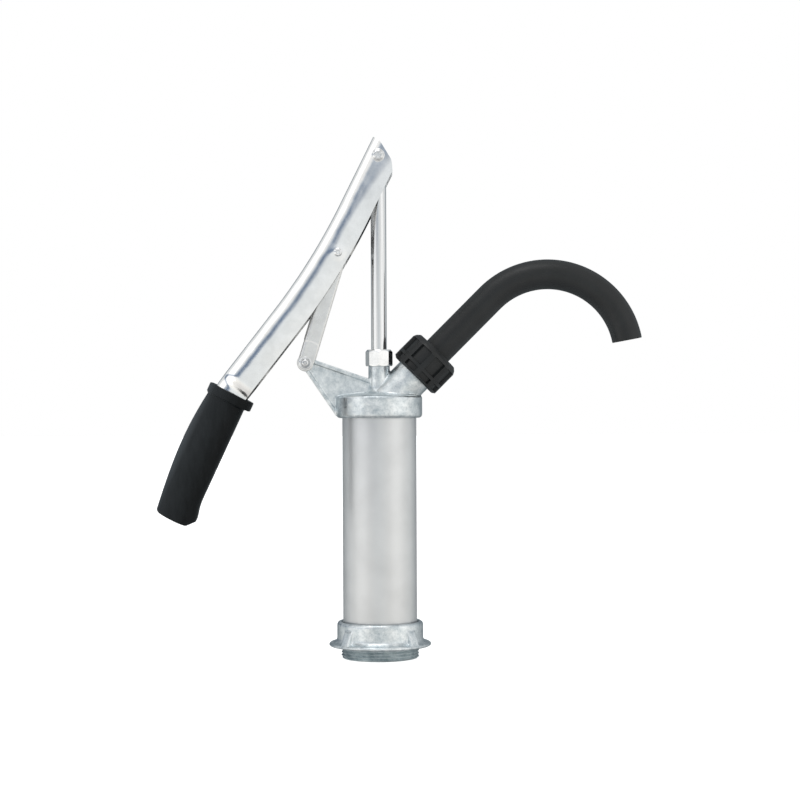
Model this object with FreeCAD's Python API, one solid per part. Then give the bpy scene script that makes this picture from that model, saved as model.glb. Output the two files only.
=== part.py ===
import FreeCAD, Part
import math
import os

# Lever drum pump.  Origin: centre of the drum flange's underside, on the pump axis.
# +Z runs up the pump axis, +X points to the spout, and the linkage lies in the XZ plane.
# Every length is in millimetres and every angle in degrees.

# ---- clearances --------------------------------------------------------------------------------
RUN_GAP = 0.06            # radial gap of a running fit, such as a pin in its eye
SEAT_GAP = 0.05           # gap between fixed pieces that are pushed or screwed together
FREE_GAP = 0.35           # gap between curved faces that slide past each other

# ---- drum adapter ------------------------------------------------------------------------------
THREAD_OD = 59.6          # two inch pipe thread
THREAD_PITCH = 2.309
THREAD_TURNS = 4
THREAD_DEPTH = 1.15
THREAD_RUNOUT = 0.8       # plain neck between the thread and the flange
FLANGE_OD = 78.7
FLANGE_T = 2.7
ADAPTER_OD = 66.3
ADAPTER_TOP = 19.0
ADAPTER_ROUND = 2.6
SOCKET_FLOOR = 7.0        # height of the shelf that the tube's gasket lies on
LUG_COUNT = 4
LUG_FIRST_ANGLE = 45.0
LUG_W = 7.6
LUG_TOP = 13.2
LUG_HEAD_OUT = 1.6        # how far the lug's head stands out of the ring
SUCTION_R = 19.6          # hole for the suction pipe
VALVE_PORT_R = 16.5       # opening in the floor under the foot valve

# ---- cylinder tube -----------------------------------------------------------------------------
TUBE_OD = 57.0
TUBE_WALL = 2.0
TUBE_BARE = 156.0         # length of tube that shows between adapter and head
GASKET_T = 1.5
GASKET_W = 4.5

# ---- head --------------------------------------------------------------------------------------
CAP_OD = 66.1
CAP_RING_H = 17.0
CAP_SOCKET_DEPTH = 12.0
CAP_ROUND = 2.8
DOME_RISE = 2.8
DOME_ROOF = 1.5            # the chamber under the dome ends this far below the cap ring's top
DOME_SHOULDER_R = 27.0
NECK_TOP_ABOVE_CAP = 22.8
NECK_WALL = 1.25
NECK_FILLET = 4.5
BUSH_WALL = 1.0
STUB_OD = 29.6
STUB_BORE = 20.0
STUB_ANGLE = 45.0
STUB_AXIS_DROP = 10.9     # the outlet axis crosses the pump axis this far below the cap ring's top
STUB_LEN = 46.0           # from the pump axis, along the outlet axis

# ---- gland -------------------------------------------------------------------------------------
GLAND_SIDES = 8
GLAND_AF = 19.3
GLAND_H = 12.7
GLAND_SPIGOT_H = 6.3
GLAND_LID_T = 2.4
GLAND_WALL_CUT = 0.45     # the screwed spigot is this much smaller in radius than the neck
GLAND_WASHER_T = 0.9

# ---- rod and linkage ---------------------------------------------------------------------------
ROD_D = 12.0
PIN_D = 6.0
ARM_PIVOT_OUT = 56.5      # from the pump axis
ARM_PIVOT_UP = 25.4       # above the cap ring's top
LINK_LEN = 88.2           # between the link's two pivots
LINK_LEAN = 16.9          # lean of the link at rest, from the vertical
LEVER_ARM = 80.4          # from the link pivot to the rod pivot

# ---- arm bracket -------------------------------------------------------------------------------
ARM_W = 10.4
ARM_WEB_T = 4.4
ARM_BOSS_R = 5.6
ARM_RIB_T = 3.0
ARM_TOP_OFFSET = 4.7      # the top rib's outer face passes this far above the arm pivot
ARM_LOW_OFFSET = 3.6      # the lower rib's outer face passes this far below the arm pivot
ARM_NECK_UP = 13.4        # the top rib meets the neck this far above the cap ring
ARM_CAP_UP = 1.8          # the lower rib meets the cap ring this far above its bottom

# ---- link --------------------------------------------------------------------------------------
LINK_INNER_W = 11.0
LINK_T = 2.0
LINK_FLANGE = 12.8
LINK_WEB_START = 17.0     # the link's back starts this far above the arm pivot
LINK_WEB_END = 9.0        # and ends this far below the link pivot
LINK_BEND_R = 3.0
LINK_TOP_R = 5.6          # radius of the link's end inside the lever
SPACER_WALL = 1.2
SPACER_END_GAP = 0.3

# ---- lever -------------------------------------------------------------------------------------
LEVER_W = 24.0
LEVER_T = 2.0
LEVER_DEPTH = 25.2
LEVER_BEND_R = 7.0
LEVER_NARROW_W = 19.0     # width of the shank inside the grip
SHANK_DEPTH = 22.6
SHANK_TAPER_LEN = 8.0     # length over which the shank gets shallower, inside the grip
LEVER_NECK_LEN = 9.0      # length over which the channel narrows
TIP_ANGLE = 26.5          # slope of the lever's top stretch, from the vertical
MID_ANGLE = 38.0          # slope of the stretch above the grip
SHANK_ANGLE = 25.0        # slope of the shank inside the grip
PIVOT_DEPTH = 9.9         # the rod pivot lies this deep below the lever's back
TIP_OVERHANG = 11.4
TIP_CUT = ((0.0, 4.6), (9.9, 20.4), (18.2, 25.2))    # slanted edge: distance along the back, and depth
TIP_STRAIGHT = 56.5       # from the rod pivot down to the start of the long bend
LONG_BEND_R = 480.0
MID_LEN = 66.2            # from the long bend to the bend at the grip
SHANK_BEND_R = 40.0
SHANK_LEN = 90.0

# ---- grip --------------------------------------------------------------------------------------
GRIP_LEN = 111.0
GRIP_OVER_BEND = 7.0      # the collar's face stands this far above the end of the shank's bend
GRIP_SIDE_WALL = 3.4
GRIP_SIDE_BULGE = 1.8
GRIP_BACK_WALL = 1.7
GRIP_BACK_BULGE = 4.6
GRIP_FRONT_WALL = 4.1
GRIP_FOOT_FLARE = 2.4     # the end's outward roll on the open side
GRIP_CORNER = 8.5
GRIP_COLLAR_LOW = 3.2     # the collar starts this far below the grip's end face
GRIP_COLLAR_T = 7.2
GRIP_COLLAR_OUT = 3.3
GRIP_COLLAR_ROUND = 1.8

# ---- pins --------------------------------------------------------------------------------------
ARM_WASHER_R = 4.9
ARM_WASHER_T = 0.8
ARM_HEAD_R = 2.9
RIVET_R = 3.6
RIVET_H = 2.6             # height of the riveted head over its boss
RIVET_DOME = 1.35         # the head's dome radius, as a share of its own radius
RIVET_SHANK = 0.7         # the head's shank radius, as a share of its own radius
BOSS_R = 6.0              # raised ring round the link pin, on both flanges of the lever
BOSS_H = 0.7
CAP_NUT_R = 5.0
CAP_NUT_H = 2.6
CAP_CROWN_T = 0.8         # metal over the pin's end in a push-on cap

# ---- spout -------------------------------------------------------------------------------------
SPOUT_OD = 23.0
SPOUT_BORE = 19.0
SPOUT_STRAIGHT_END = 121.1   # along the outlet axis, from the pump axis
SPOUT_BEND_R = 62.4
SPOUT_SWEEP = 124.5
SPOUT_COLLAR_R = 15.6
SPOUT_COLLAR_T = 3.5

# ---- union nut ---------------------------------------------------------------------------------
UNION_START = 37.6        # along the outlet axis
UNION_LEN = 26.0
UNION_OD = 43.0
UNION_LOW_OD = 38.4
UNION_LOW_CHAMFER = 1.6
UNION_TOP_CHAMFER = 4.6
UNION_TOP_INSET = 3.5
UNION_POCKETS = 9
UNION_POCKET_SPAN = 27.6
UNION_POCKET_DEPTH = 2.0
UNION_POCKET_LOW = 9.0
UNION_POCKET_HIGH = 21.5
UNION_NOTCH_LOW = 2.2
UNION_NOTCH_HIGH = 6.2
UNION_POCKET_TURN = 6.8   # the first pocket's start, from the -Y direction

# ---- piston ------------------------------------------------------------------------------------
PISTON_BELOW_CAP = 5.0    # the rod's shoulder at rest is this far below the cap ring
STUD_D = 8.0
STOP_T = 2.0
STOP_R = 12.0
SLEEVE_R = 6.0
PISTON_LIFT = 3.0
VALVE_DISC_T = 2.5
PISTON_BODY_T = 9.0
PISTON_PORTS = 8
PISTON_PORT_R = 2.6
PISTON_PORT_PCR = 13.5
CUP_T = 2.0
CLAMP_T = 3.0
CLAMP_RIM = 3.5           # the clamp plate is this much smaller in radius than the cup
PISTON_NUT_AF = 13.0
PISTON_NUT_H = 6.5
STUD_END = 2.0

# ---- foot valve --------------------------------------------------------------------------------
FOOT_SEAT_T = 3.4
FOOT_SEAT_RIM = 3.6       # the seat's rim reaches this far under the base gasket
FOOT_LIFT = 4.0
FOOT_PORTS = 6
FOOT_PORT_R = 3.4
FOOT_PORT_PCR = 11.0
STEM_R = 3.5
STEM_HEAD_R = 7.0
STEM_HEAD_T = 2.2

# ---- derived places ----------------------------------------------------------------------------
TUBE_R = TUBE_OD / 2
BORE_R = TUBE_R - TUBE_WALL
ROD_R = ROD_D / 2
PIN_R = PIN_D / 2
THREAD_LEN = THREAD_PITCH * THREAD_TURNS
CAP_BOTTOM = ADAPTER_TOP + TUBE_BARE
CAP_TOP = CAP_BOTTOM + CAP_RING_H
TUBE_LOW = SOCKET_FLOOR + GASKET_T
TUBE_HIGH = CAP_BOTTOM + CAP_SOCKET_DEPTH
SOCKET_CEILING = TUBE_HIGH + GASKET_T
NECK_TOP = CAP_TOP + NECK_TOP_ABOVE_CAP
BUSH_R = ROD_R + BUSH_WALL
NECK_R = BUSH_R + NECK_WALL
SPIGOT_R = NECK_R - GLAND_WALL_CUT
GLAND_TOP = NECK_TOP + GLAND_H
OUTLET_Z = CAP_TOP - STUB_AXIS_DROP
PIVOT_ARM = (-ARM_PIVOT_OUT, CAP_TOP + ARM_PIVOT_UP)
PIVOT_LINK = (PIVOT_ARM[0] + LINK_LEN * math.sin(math.radians(LINK_LEAN)),
              PIVOT_ARM[1] + LINK_LEN * math.cos(math.radians(LINK_LEAN)))
ROD_EYE_Z = PIVOT_LINK[1] + math.sqrt(LEVER_ARM ** 2 - PIVOT_LINK[0] ** 2)
PISTON_SHOULDER_Z = CAP_BOTTOM - PISTON_BELOW_CAP
ARM_NECK_Z = CAP_TOP + ARM_NECK_UP
ARM_CAP_Z = CAP_BOTTOM + ARM_CAP_UP
LINK_OUTER_W = LINK_INNER_W + 2 * LINK_T
LEVER_INNER_W = LEVER_W - 2 * LEVER_T


def vec(x, y, z):
    """A point or direction."""
    return FreeCAD.Vector(x, y, z)


def cyl(radius, low, high, x=0.0, y=0.0):
    """An upright cylinder between two heights."""
    return Part.makeCylinder(radius, high - low, vec(x, y, low))


def ring(outer, inner, low, high):
    """An upright tube between two heights."""
    return cyl(outer, low, high).cut(cyl(inner, low - 1, high + 1))


def cross_cyl(radius, centre, half_width):
    """A cylinder along Y, centred on the XZ plane, about an (x, z) point."""
    return Part.makeCylinder(radius, 2 * half_width, vec(centre[0], -half_width, centre[1]), vec(0, 1, 0))


def cross_disc(radius, centre, y_from, y_to):
    """A cylinder along Y between two Y values."""
    return Part.makeCylinder(radius, y_to - y_from, vec(centre[0], y_from, centre[1]), vec(0, 1, 0))


def cross_band(radius, centre, side, near, far):
    """A cylinder along Y between two distances from the XZ plane, on one side of it."""
    return cross_disc(radius, centre, min(side * near, side * far), max(side * near, side * far))


def revolve(points, axis_point=vec(0, 0, 0), axis=vec(0, 0, 1)):
    """Turn a closed (r, z) outline about the Z axis."""
    corners = [vec(r, 0, z) for r, z in points]
    face = Part.Face(Part.makePolygon(corners + [corners[0]]))
    return face.revolve(axis_point, axis, 360)


def prism(points, y_from, y_to):
    """Extrude a closed (x, z) outline along Y."""
    corners = [vec(x, y_from, z) for x, z in points]
    face = Part.Face(Part.makePolygon(corners + [corners[0]]))
    return face.extrude(vec(0, y_to - y_from, 0))


def along_outlet(shape):
    """Carry a shape made on the Z axis onto the slanted outlet axis."""
    moved = shape.copy()
    moved.rotate(vec(0, 0, 0), vec(0, 1, 0), STUB_ANGLE)
    moved.translate(vec(0, 0, OUTLET_Z))
    return moved


def turned(shape, angle):
    """Turn a copy of a shape about the Z axis."""
    copy = shape.copy()
    copy.rotate(vec(0, 0, 0), vec(0, 0, 1), angle)
    return copy


def fillet_at(shape, radius, wanted):
    """Fillet the edges that the test picks."""
    edges = [edge for edge in shape.Edges if wanted(edge)]
    return shape.makeFillet(radius, edges)


def direction(angle):
    """Unit (x, z) vector that leans to -X by an angle from straight down."""
    return (-math.sin(math.radians(angle)), -math.cos(math.radians(angle)))


# ---- adapter and foot valve --------------------------------------------------------------------
def thread_rings(radius, depth, pitch, turns, top):
    """Ridges of a pipe thread, one ring for each turn."""
    points = [(radius - depth - 3, top)]
    for turn in range(turns):
        high = top - turn * pitch
        points.append((radius - depth, high))
        points.append((radius, high - 0.42 * pitch))
        points.append((radius, high - 0.58 * pitch))
    points.append((radius - depth, top - turns * pitch))
    points.append((radius - depth - 3, top - turns * pitch))
    return revolve(points)


def adapter_lug(angle):
    """A grip lug: a sloping rib from the flange's rim up the ring."""
    ring_r = ADAPTER_OD / 2
    inner = ring_r - 3
    points = [(inner, FLANGE_T * 0.5), (FLANGE_OD / 2 - 0.6, FLANGE_T * 0.5),
              (FLANGE_OD / 2 - 1.2, FLANGE_T + 0.4), (ring_r + LUG_HEAD_OUT, LUG_TOP - 1.2),
              (ring_r + LUG_HEAD_OUT * 0.4, LUG_TOP), (inner, LUG_TOP)]
    return turned(prism(points, -LUG_W / 2, LUG_W / 2), angle)


def drum_adapter():
    """Ring, flange, lugs and drum thread, with the tube socket and the suction hole."""
    ring_r = ADAPTER_OD / 2
    arc = []
    for step in range(7):
        angle = math.radians(15 * step)
        arc.append((ring_r - ADAPTER_ROUND * (1 - math.cos(angle)),
                    ADAPTER_TOP - ADAPTER_ROUND * (1 - math.sin(angle))))
    core_r = THREAD_OD / 2 - THREAD_DEPTH
    neck_r = THREAD_OD / 2 + SEAT_GAP
    outline = [(core_r - 2, -THREAD_LEN), (core_r, -THREAD_LEN), (core_r, -THREAD_RUNOUT),
               (neck_r, -THREAD_RUNOUT), (neck_r, 0), (FLANGE_OD / 2 - 0.9, 0),
               (FLANGE_OD / 2, 0.9), (FLANGE_OD / 2, FLANGE_T - 1.1), (FLANGE_OD / 2 - 1.0, FLANGE_T),
               (ring_r + 2.2, FLANGE_T + 0.5), (ring_r, FLANGE_T + 2.7)]
    outline += arc
    outline += [(TUBE_R - 4, ADAPTER_TOP), (TUBE_R - 4, -THREAD_LEN + 1)]
    body = revolve(outline).fuse(cyl(TUBE_R - 2, -THREAD_LEN, SOCKET_FLOOR))
    body = body.fuse(thread_rings(THREAD_OD / 2, THREAD_DEPTH, THREAD_PITCH, THREAD_TURNS, 0))
    for index in range(LUG_COUNT):
        body = body.fuse(adapter_lug(LUG_FIRST_ANGLE + index * 360 / LUG_COUNT))
    body = body.cut(cyl(TUBE_R + SEAT_GAP, SOCKET_FLOOR, ADAPTER_TOP + 1))
    body = body.cut(revolve([(TUBE_R - 1, ADAPTER_TOP - 2.6), (TUBE_R + 1.2, ADAPTER_TOP - 2.6),
                             (TUBE_R + 1.6, ADAPTER_TOP + 1), (TUBE_R - 1, ADAPTER_TOP + 1)]))
    body = body.cut(cyl(foot_seat_radius() + SEAT_GAP, SOCKET_FLOOR - FOOT_SEAT_T, SOCKET_FLOOR + 1))
    body = body.cut(cyl(VALVE_PORT_R, -1, SOCKET_FLOOR))
    body = body.cut(cyl(SUCTION_R, -THREAD_LEN - 1, 0))
    return body.removeSplitter()


def foot_seat_radius():
    """Outer radius of the foot valve seat, which reaches under the base gasket."""
    return TUBE_R - GASKET_W + FOOT_SEAT_RIM - 1.0


def foot_valve_seat():
    """Ported disc that the foot valve closes on, with the hole for the stem."""
    low = SOCKET_FLOOR - FOOT_SEAT_T
    disc = cyl(foot_seat_radius(), low, SOCKET_FLOOR)
    for index in range(FOOT_PORTS):
        port = cyl(FOOT_PORT_R, low - 1, SOCKET_FLOOR + 1, FOOT_PORT_PCR, 0)
        disc = disc.cut(turned(port, index * 360 / FOOT_PORTS))
    return disc.cut(cyl(STEM_R + SEAT_GAP, low - 1, SOCKET_FLOOR + 1))


def foot_valve_stem():
    """Guide stem with a stop head above the disc and a foot below the seat."""
    low = SOCKET_FLOOR - FOOT_SEAT_T
    head_low = SOCKET_FLOOR + VALVE_DISC_T + FOOT_LIFT + FREE_GAP
    stem = cyl(STEM_R, low - 2.4, head_low)
    head = cyl(STEM_HEAD_R, head_low, head_low + STEM_HEAD_T)
    foot = cyl(STEM_R + 1.8, low - 2.4, low)
    return stem.fuse(head).fuse(foot).removeSplitter()


def foot_valve_disc():
    """Disc that lifts on the stem when the pump draws."""
    outer = FOOT_PORT_PCR + FOOT_PORT_R + 2.2
    return ring(outer, STEM_R + RUN_GAP, SOCKET_FLOOR, SOCKET_FLOOR + VALVE_DISC_T)


def base_gasket():
    """Flat ring between the tube's lower end and the adapter's shelf."""
    return ring(TUBE_R - SEAT_GAP, TUBE_R - GASKET_W, SOCKET_FLOOR, TUBE_LOW)


# ---- tube and head -----------------------------------------------------------------------------
def cylinder_tube():
    """Pump barrel."""
    return ring(TUBE_R, BORE_R, TUBE_LOW, TUBE_HIGH)


def head_gasket():
    """Flat ring between the tube's upper end and the head."""
    return ring(TUBE_R - SEAT_GAP, TUBE_R - GASKET_W, TUBE_HIGH, SOCKET_CEILING)


def head_outline():
    """Outer (r, z) outline of the cap ring, dome and neck."""
    cap_r = CAP_OD / 2
    dome_top = CAP_TOP + DOME_RISE
    points = [(0, CAP_BOTTOM)]
    for step in range(7):
        angle = math.radians(90 - 15 * step)
        points.append((cap_r - CAP_ROUND * (1 - math.cos(angle)),
                       CAP_BOTTOM + CAP_ROUND * (1 - math.sin(angle))))
    points += [(cap_r, CAP_TOP - 1.2), (cap_r - 0.9, CAP_TOP - 0.2), (cap_r - 1.6, CAP_TOP)]
    points.append((DOME_SHOULDER_R, CAP_TOP + DOME_RISE * 0.3))
    points.append((DOME_SHOULDER_R * 0.66, CAP_TOP + DOME_RISE * 0.65))
    for step in range(6):
        angle = math.radians(15 + 15 * step)
        points.append((NECK_R + NECK_FILLET * (1 - math.sin(angle)),
                       dome_top + NECK_FILLET * (1 - math.cos(angle)) - 0.6))
    points += [(NECK_R, NECK_TOP), (SPIGOT_R, NECK_TOP), (SPIGOT_R, NECK_TOP + GLAND_SPIGOT_H),
               (0, NECK_TOP + GLAND_SPIGOT_H)]
    return points


def offset_line(start, end, distance):
    """The two ends of a line moved sideways, to the right of its direction."""
    dx = end[0] - start[0]
    dz = end[1] - start[1]
    length = math.hypot(dx, dz)
    shift = (dz / length * distance, -dx / length * distance)
    return (start[0] + shift[0], start[1] + shift[1]), (end[0] + shift[0], end[1] + shift[1])


def tangent_from(centre, radius, point, side):
    """Where the line from a point touches a circle; side picks one of the two."""
    dx = point[0] - centre[0]
    dz = point[1] - centre[1]
    distance = math.hypot(dx, dz)
    base = math.atan2(dz, dx)
    spread = math.acos(radius / distance) * side
    return (centre[0] + radius * math.cos(base + spread), centre[1] + radius * math.sin(base + spread))


def arm_bracket():
    """Web plate with a rib along each edge, from the arm pivot to the neck and the cap ring."""
    cap_r = CAP_OD / 2
    neck_point = (-NECK_R, ARM_NECK_Z)
    cap_point = (-cap_r - 0.2, ARM_CAP_Z)
    top_touch = tangent_from(PIVOT_ARM, ARM_TOP_OFFSET, neck_point, 1)
    low_touch = tangent_from(PIVOT_ARM, ARM_LOW_OFFSET, cap_point, -1)
    web = prism([top_touch, neck_point, (-2, ARM_NECK_Z), (-2, CAP_TOP - 4), (-cap_r + 4, ARM_CAP_Z),
                 cap_point, low_touch], -ARM_WEB_T / 2, ARM_WEB_T / 2)
    top_in, neck_in = offset_line(top_touch, neck_point, ARM_RIB_T)
    top_outline = [top_touch, neck_point, (-2, ARM_NECK_Z - 2), (-2, neck_in[1] - 2), neck_in, top_in]
    top_rib = prism(top_outline, -ARM_W / 2, ARM_W / 2)
    low_in, cap_in = offset_line(low_touch, cap_point, -ARM_RIB_T * 0.8)
    low_outline = [low_touch, cap_point, (-cap_r + 3, ARM_CAP_Z), (-cap_r + 3, ARM_CAP_Z + 3), cap_in, low_in]
    low_rib = prism(low_outline, -ARM_W / 2, ARM_W / 2)
    boss = cross_cyl(ARM_BOSS_R, PIVOT_ARM, ARM_W / 2)
    return web.fuse(top_rib).fuse(low_rib).fuse(boss)


def pump_head():
    """Head casting: cap ring, dome, neck, arm bracket and outlet stub."""
    body = revolve(head_outline())
    stub = along_outlet(cyl(STUB_OD / 2, 0, STUB_LEN))
    body = body.fuse(stub).fuse(arm_bracket())
    body = body.cut(cyl(TUBE_R + SEAT_GAP, CAP_BOTTOM - STUB_OD, SOCKET_CEILING))
    chamber = revolve([(0, SOCKET_CEILING - 1), (TUBE_R - GASKET_W, SOCKET_CEILING - 1),
                       (TUBE_R - GASKET_W, SOCKET_CEILING + 1.2), (NECK_R + 4, CAP_TOP - DOME_ROOF),
                       (0, CAP_TOP - DOME_ROOF)])
    body = body.cut(chamber)
    outlet = along_outlet(cyl(STUB_BORE / 2, STUB_BORE / 2, STUB_LEN + 1))
    rod_tower = cyl(NECK_R, CAP_TOP - 1, NECK_TOP)
    body = body.cut(outlet.cut(rod_tower))
    body = body.cut(cyl(BUSH_R + SEAT_GAP, CAP_BOTTOM, NECK_TOP - 2))
    body = body.cut(cyl(ROD_R + FREE_GAP, CAP_BOTTOM, GLAND_TOP))
    return body.cut(cross_cyl(PIN_R + SEAT_GAP, PIVOT_ARM, ARM_W)).removeSplitter()


def rod_bush():
    """Plain bearing for the rod in the neck."""
    return ring(BUSH_R, ROD_R + RUN_GAP, CAP_TOP + 2, NECK_TOP - 2)


def gland_nut():
    """Eight-sided cap nut with chamfered corners, screwed on the neck."""
    corner_r = GLAND_AF / 2 / math.cos(math.pi / GLAND_SIDES)
    low = NECK_TOP + SEAT_GAP
    corners = []
    for index in range(GLAND_SIDES):
        angle = math.radians(-90 + index * 360 / GLAND_SIDES)
        corners.append(vec(corner_r * math.cos(angle), corner_r * math.sin(angle), low))
    body = Part.Face(Part.makePolygon(corners + [corners[0]])).extrude(vec(0, 0, GLAND_TOP - low))
    cone = revolve([(0, low), (corner_r + 1, low), (corner_r + 1, GLAND_TOP - 1.6),
                    (GLAND_AF / 2 - 0.7, GLAND_TOP), (0, GLAND_TOP)])
    body = body.common(cone)
    body = body.cut(cyl(SPIGOT_R + SEAT_GAP, low - 1, GLAND_TOP - GLAND_LID_T))
    return body.cut(cyl(ROD_R + FREE_GAP, low - 1, GLAND_TOP + 1))


def gland_washer():
    """Brass washer between the neck's end and the packing."""
    low = NECK_TOP + GLAND_SPIGOT_H
    return ring(SPIGOT_R - SEAT_GAP, ROD_R + FREE_GAP, low, low + GLAND_WASHER_T)


def gland_packing():
    """Sealing ring pressed round the rod by the gland nut."""
    low = NECK_TOP + GLAND_SPIGOT_H + GLAND_WASHER_T
    return ring(SPIGOT_R - SEAT_GAP, ROD_R + RUN_GAP, low, GLAND_TOP - GLAND_LID_T)


# ---- outlet ------------------------------------------------------------------------------------
def outlet_gasket():
    """Flat ring between the stub's end and the spout's collar."""
    return along_outlet(ring(STUB_OD / 2 - 0.8, STUB_BORE / 2 + 0.4, STUB_LEN, STUB_LEN + GASKET_T))


def union_nut():
    """Moulded ring nut with two rows of pockets round it."""
    low = UNION_START
    high = UNION_START + UNION_LEN
    outer = UNION_OD / 2
    outline = [(0, low), (UNION_LOW_OD / 2, low), (outer, low + UNION_LOW_CHAMFER),
               (outer, high - UNION_TOP_CHAMFER),
               (outer - UNION_TOP_INSET * 0.35, high - UNION_TOP_CHAMFER * 0.45),
               (outer - UNION_TOP_INSET, high), (0, high)]
    body = revolve(outline)
    floor_r = outer - UNION_POCKET_DEPTH
    for index in range(UNION_POCKETS):
        start = UNION_POCKET_TURN - 90 + index * 360 / UNION_POCKETS
        for bottom, top in ((UNION_POCKET_LOW, UNION_POCKET_HIGH), (UNION_NOTCH_LOW, UNION_NOTCH_HIGH)):
            half = [vec(floor_r, 0, low + bottom), vec(outer + 1, 0, low + bottom),
                    vec(outer + 1, 0, low + top), vec(floor_r, 0, low + top)]
            face = Part.Face(Part.makePolygon(half + [half[0]]))
            body = body.cut(turned(face.revolve(vec(0, 0, 0), vec(0, 0, 1), UNION_POCKET_SPAN), start))
    body = body.cut(cyl(STUB_OD / 2 + FREE_GAP, low - 1, spout_lip_low()))
    body = body.cut(cyl(SPOUT_COLLAR_R + FREE_GAP, STUB_LEN, spout_lip_low()))
    body = body.cut(cyl(SPOUT_OD / 2 + FREE_GAP, low, high + 1))
    return along_outlet(body)


def spout_lip_low():
    """Where the union nut's inner lip starts, just past the spout's collar."""
    return STUB_LEN + GASKET_T + SPOUT_COLLAR_T + FREE_GAP


def spout():
    """Bent tube with a collar at its root."""
    start = STUB_LEN + GASKET_T
    straight = cyl(SPOUT_OD / 2, start, SPOUT_STRAIGHT_END)
    collar = cyl(SPOUT_COLLAR_R, start, start + SPOUT_COLLAR_T)
    circle = Part.makeCircle(SPOUT_OD / 2, vec(0, 0, SPOUT_STRAIGHT_END), vec(0, 0, 1))
    hole = Part.makeCircle(SPOUT_BORE / 2, vec(0, 0, SPOUT_STRAIGHT_END), vec(0, 0, 1))
    centre = vec(SPOUT_BEND_R, 0, SPOUT_STRAIGHT_END)
    bend = Part.Face(Part.Wire(circle)).revolve(centre, vec(0, 1, 0), SPOUT_SWEEP)
    bend_hole = Part.Face(Part.Wire(hole)).revolve(centre, vec(0, 1, 0), SPOUT_SWEEP)
    body = straight.fuse(collar).fuse(bend)
    body = body.cut(cyl(SPOUT_BORE / 2, start - 1, SPOUT_STRAIGHT_END)).cut(bend_hole)
    return along_outlet(body.removeSplitter())


# ---- rod and piston ----------------------------------------------------------------------------
def piston_levels():
    """Heights of the piston's faces, from the rod's shoulder down."""
    stop_low = PISTON_SHOULDER_Z - STOP_T
    body_top = stop_low - VALVE_DISC_T - PISTON_LIFT - FREE_GAP
    body_low = body_top - PISTON_BODY_T
    cup_low = body_low - CUP_T
    clamp_low = cup_low - CLAMP_T
    nut_low = clamp_low - PISTON_NUT_H
    return stop_low, body_top, body_low, cup_low, clamp_low, nut_low


def piston_rod():
    """Rod with a round eye at the top and a stud for the piston at the bottom."""
    nut_low = piston_levels()[5]
    shaft = cyl(ROD_R, PISTON_SHOULDER_Z, ROD_EYE_Z)
    eye = cross_cyl(ROD_R, (0, ROD_EYE_Z), ROD_R).common(cyl(ROD_R, ROD_EYE_Z - ROD_R, ROD_EYE_Z + ROD_R))
    stud = cyl(STUD_D / 2, nut_low - STUD_END, PISTON_SHOULDER_Z)
    body = shaft.fuse(eye).fuse(stud)
    return body.cut(cross_cyl(PIN_R + RUN_GAP, (0, ROD_EYE_Z), ROD_R + 1)).removeSplitter()


def piston_stop():
    """Washer under the rod's shoulder that limits the piston valve's lift."""
    return ring(STOP_R, STUD_D / 2 + SEAT_GAP, piston_levels()[0], PISTON_SHOULDER_Z)


def piston_sleeve():
    """Sleeve that the piston valve slides on."""
    levels = piston_levels()
    return ring(SLEEVE_R, STUD_D / 2 + SEAT_GAP, levels[1], levels[0])


def piston_valve():
    """Disc over the piston's ports that lifts on the down stroke."""
    outer = PISTON_PORT_PCR + PISTON_PORT_R + 1.8
    body_top = piston_levels()[1]
    return ring(outer, SLEEVE_R + RUN_GAP, body_top, body_top + VALVE_DISC_T)


def ported(disc, low, high):
    """Cut the ring of ports through a piston disc."""
    for index in range(PISTON_PORTS):
        port = cyl(PISTON_PORT_R, low - 1, high + 1, PISTON_PORT_PCR, 0)
        disc = disc.cut(turned(port, index * 360 / PISTON_PORTS))
    return disc


def cup_radius():
    """Outer radius of the cup seal."""
    return BORE_R - FREE_GAP


def piston_body():
    """Ported piston disc, inside the cup's lip."""
    levels = piston_levels()
    disc = ring(cup_radius() - CUP_T - SEAT_GAP, STUD_D / 2 + SEAT_GAP, levels[2], levels[1])
    return ported(disc, levels[2], levels[1])


def piston_cup():
    """Cup seal: a flat ring with a lip that points up round the piston."""
    levels = piston_levels()
    outer = cup_radius()
    lip_top = levels[1] - 1.0
    return revolve([(PISTON_PORT_PCR + PISTON_PORT_R + 1.2, levels[3]), (outer, levels[3]), (outer, lip_top),
                    (outer - CUP_T * 0.5, lip_top), (outer - CUP_T, levels[2]),
                    (PISTON_PORT_PCR + PISTON_PORT_R + 1.2, levels[2])])


def piston_clamp():
    """Plate that holds the cup against the piston."""
    levels = piston_levels()
    outer = cup_radius() - CLAMP_RIM
    disc = ring(outer, STUD_D / 2 + SEAT_GAP, levels[4], levels[3])
    hub = ring(PISTON_PORT_PCR - PISTON_PORT_R - 1.2, STUD_D / 2 + SEAT_GAP, levels[3], levels[2])
    return ported(disc, levels[4], levels[3]).fuse(hub).removeSplitter()


def piston_nut():
    """Hexagon nut on the rod's stud."""
    levels = piston_levels()
    corner_r = PISTON_NUT_AF / math.sqrt(3)
    corners = []
    for index in range(6):
        angle = math.radians(60 * index)
        corners.append(vec(corner_r * math.cos(angle), corner_r * math.sin(angle), levels[5]))
    body = Part.Face(Part.makePolygon(corners + [corners[0]])).extrude(vec(0, 0, PISTON_NUT_H))
    return body.cut(cyl(STUD_D / 2 + SEAT_GAP, levels[5] - 1, levels[4] + 1))


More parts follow.
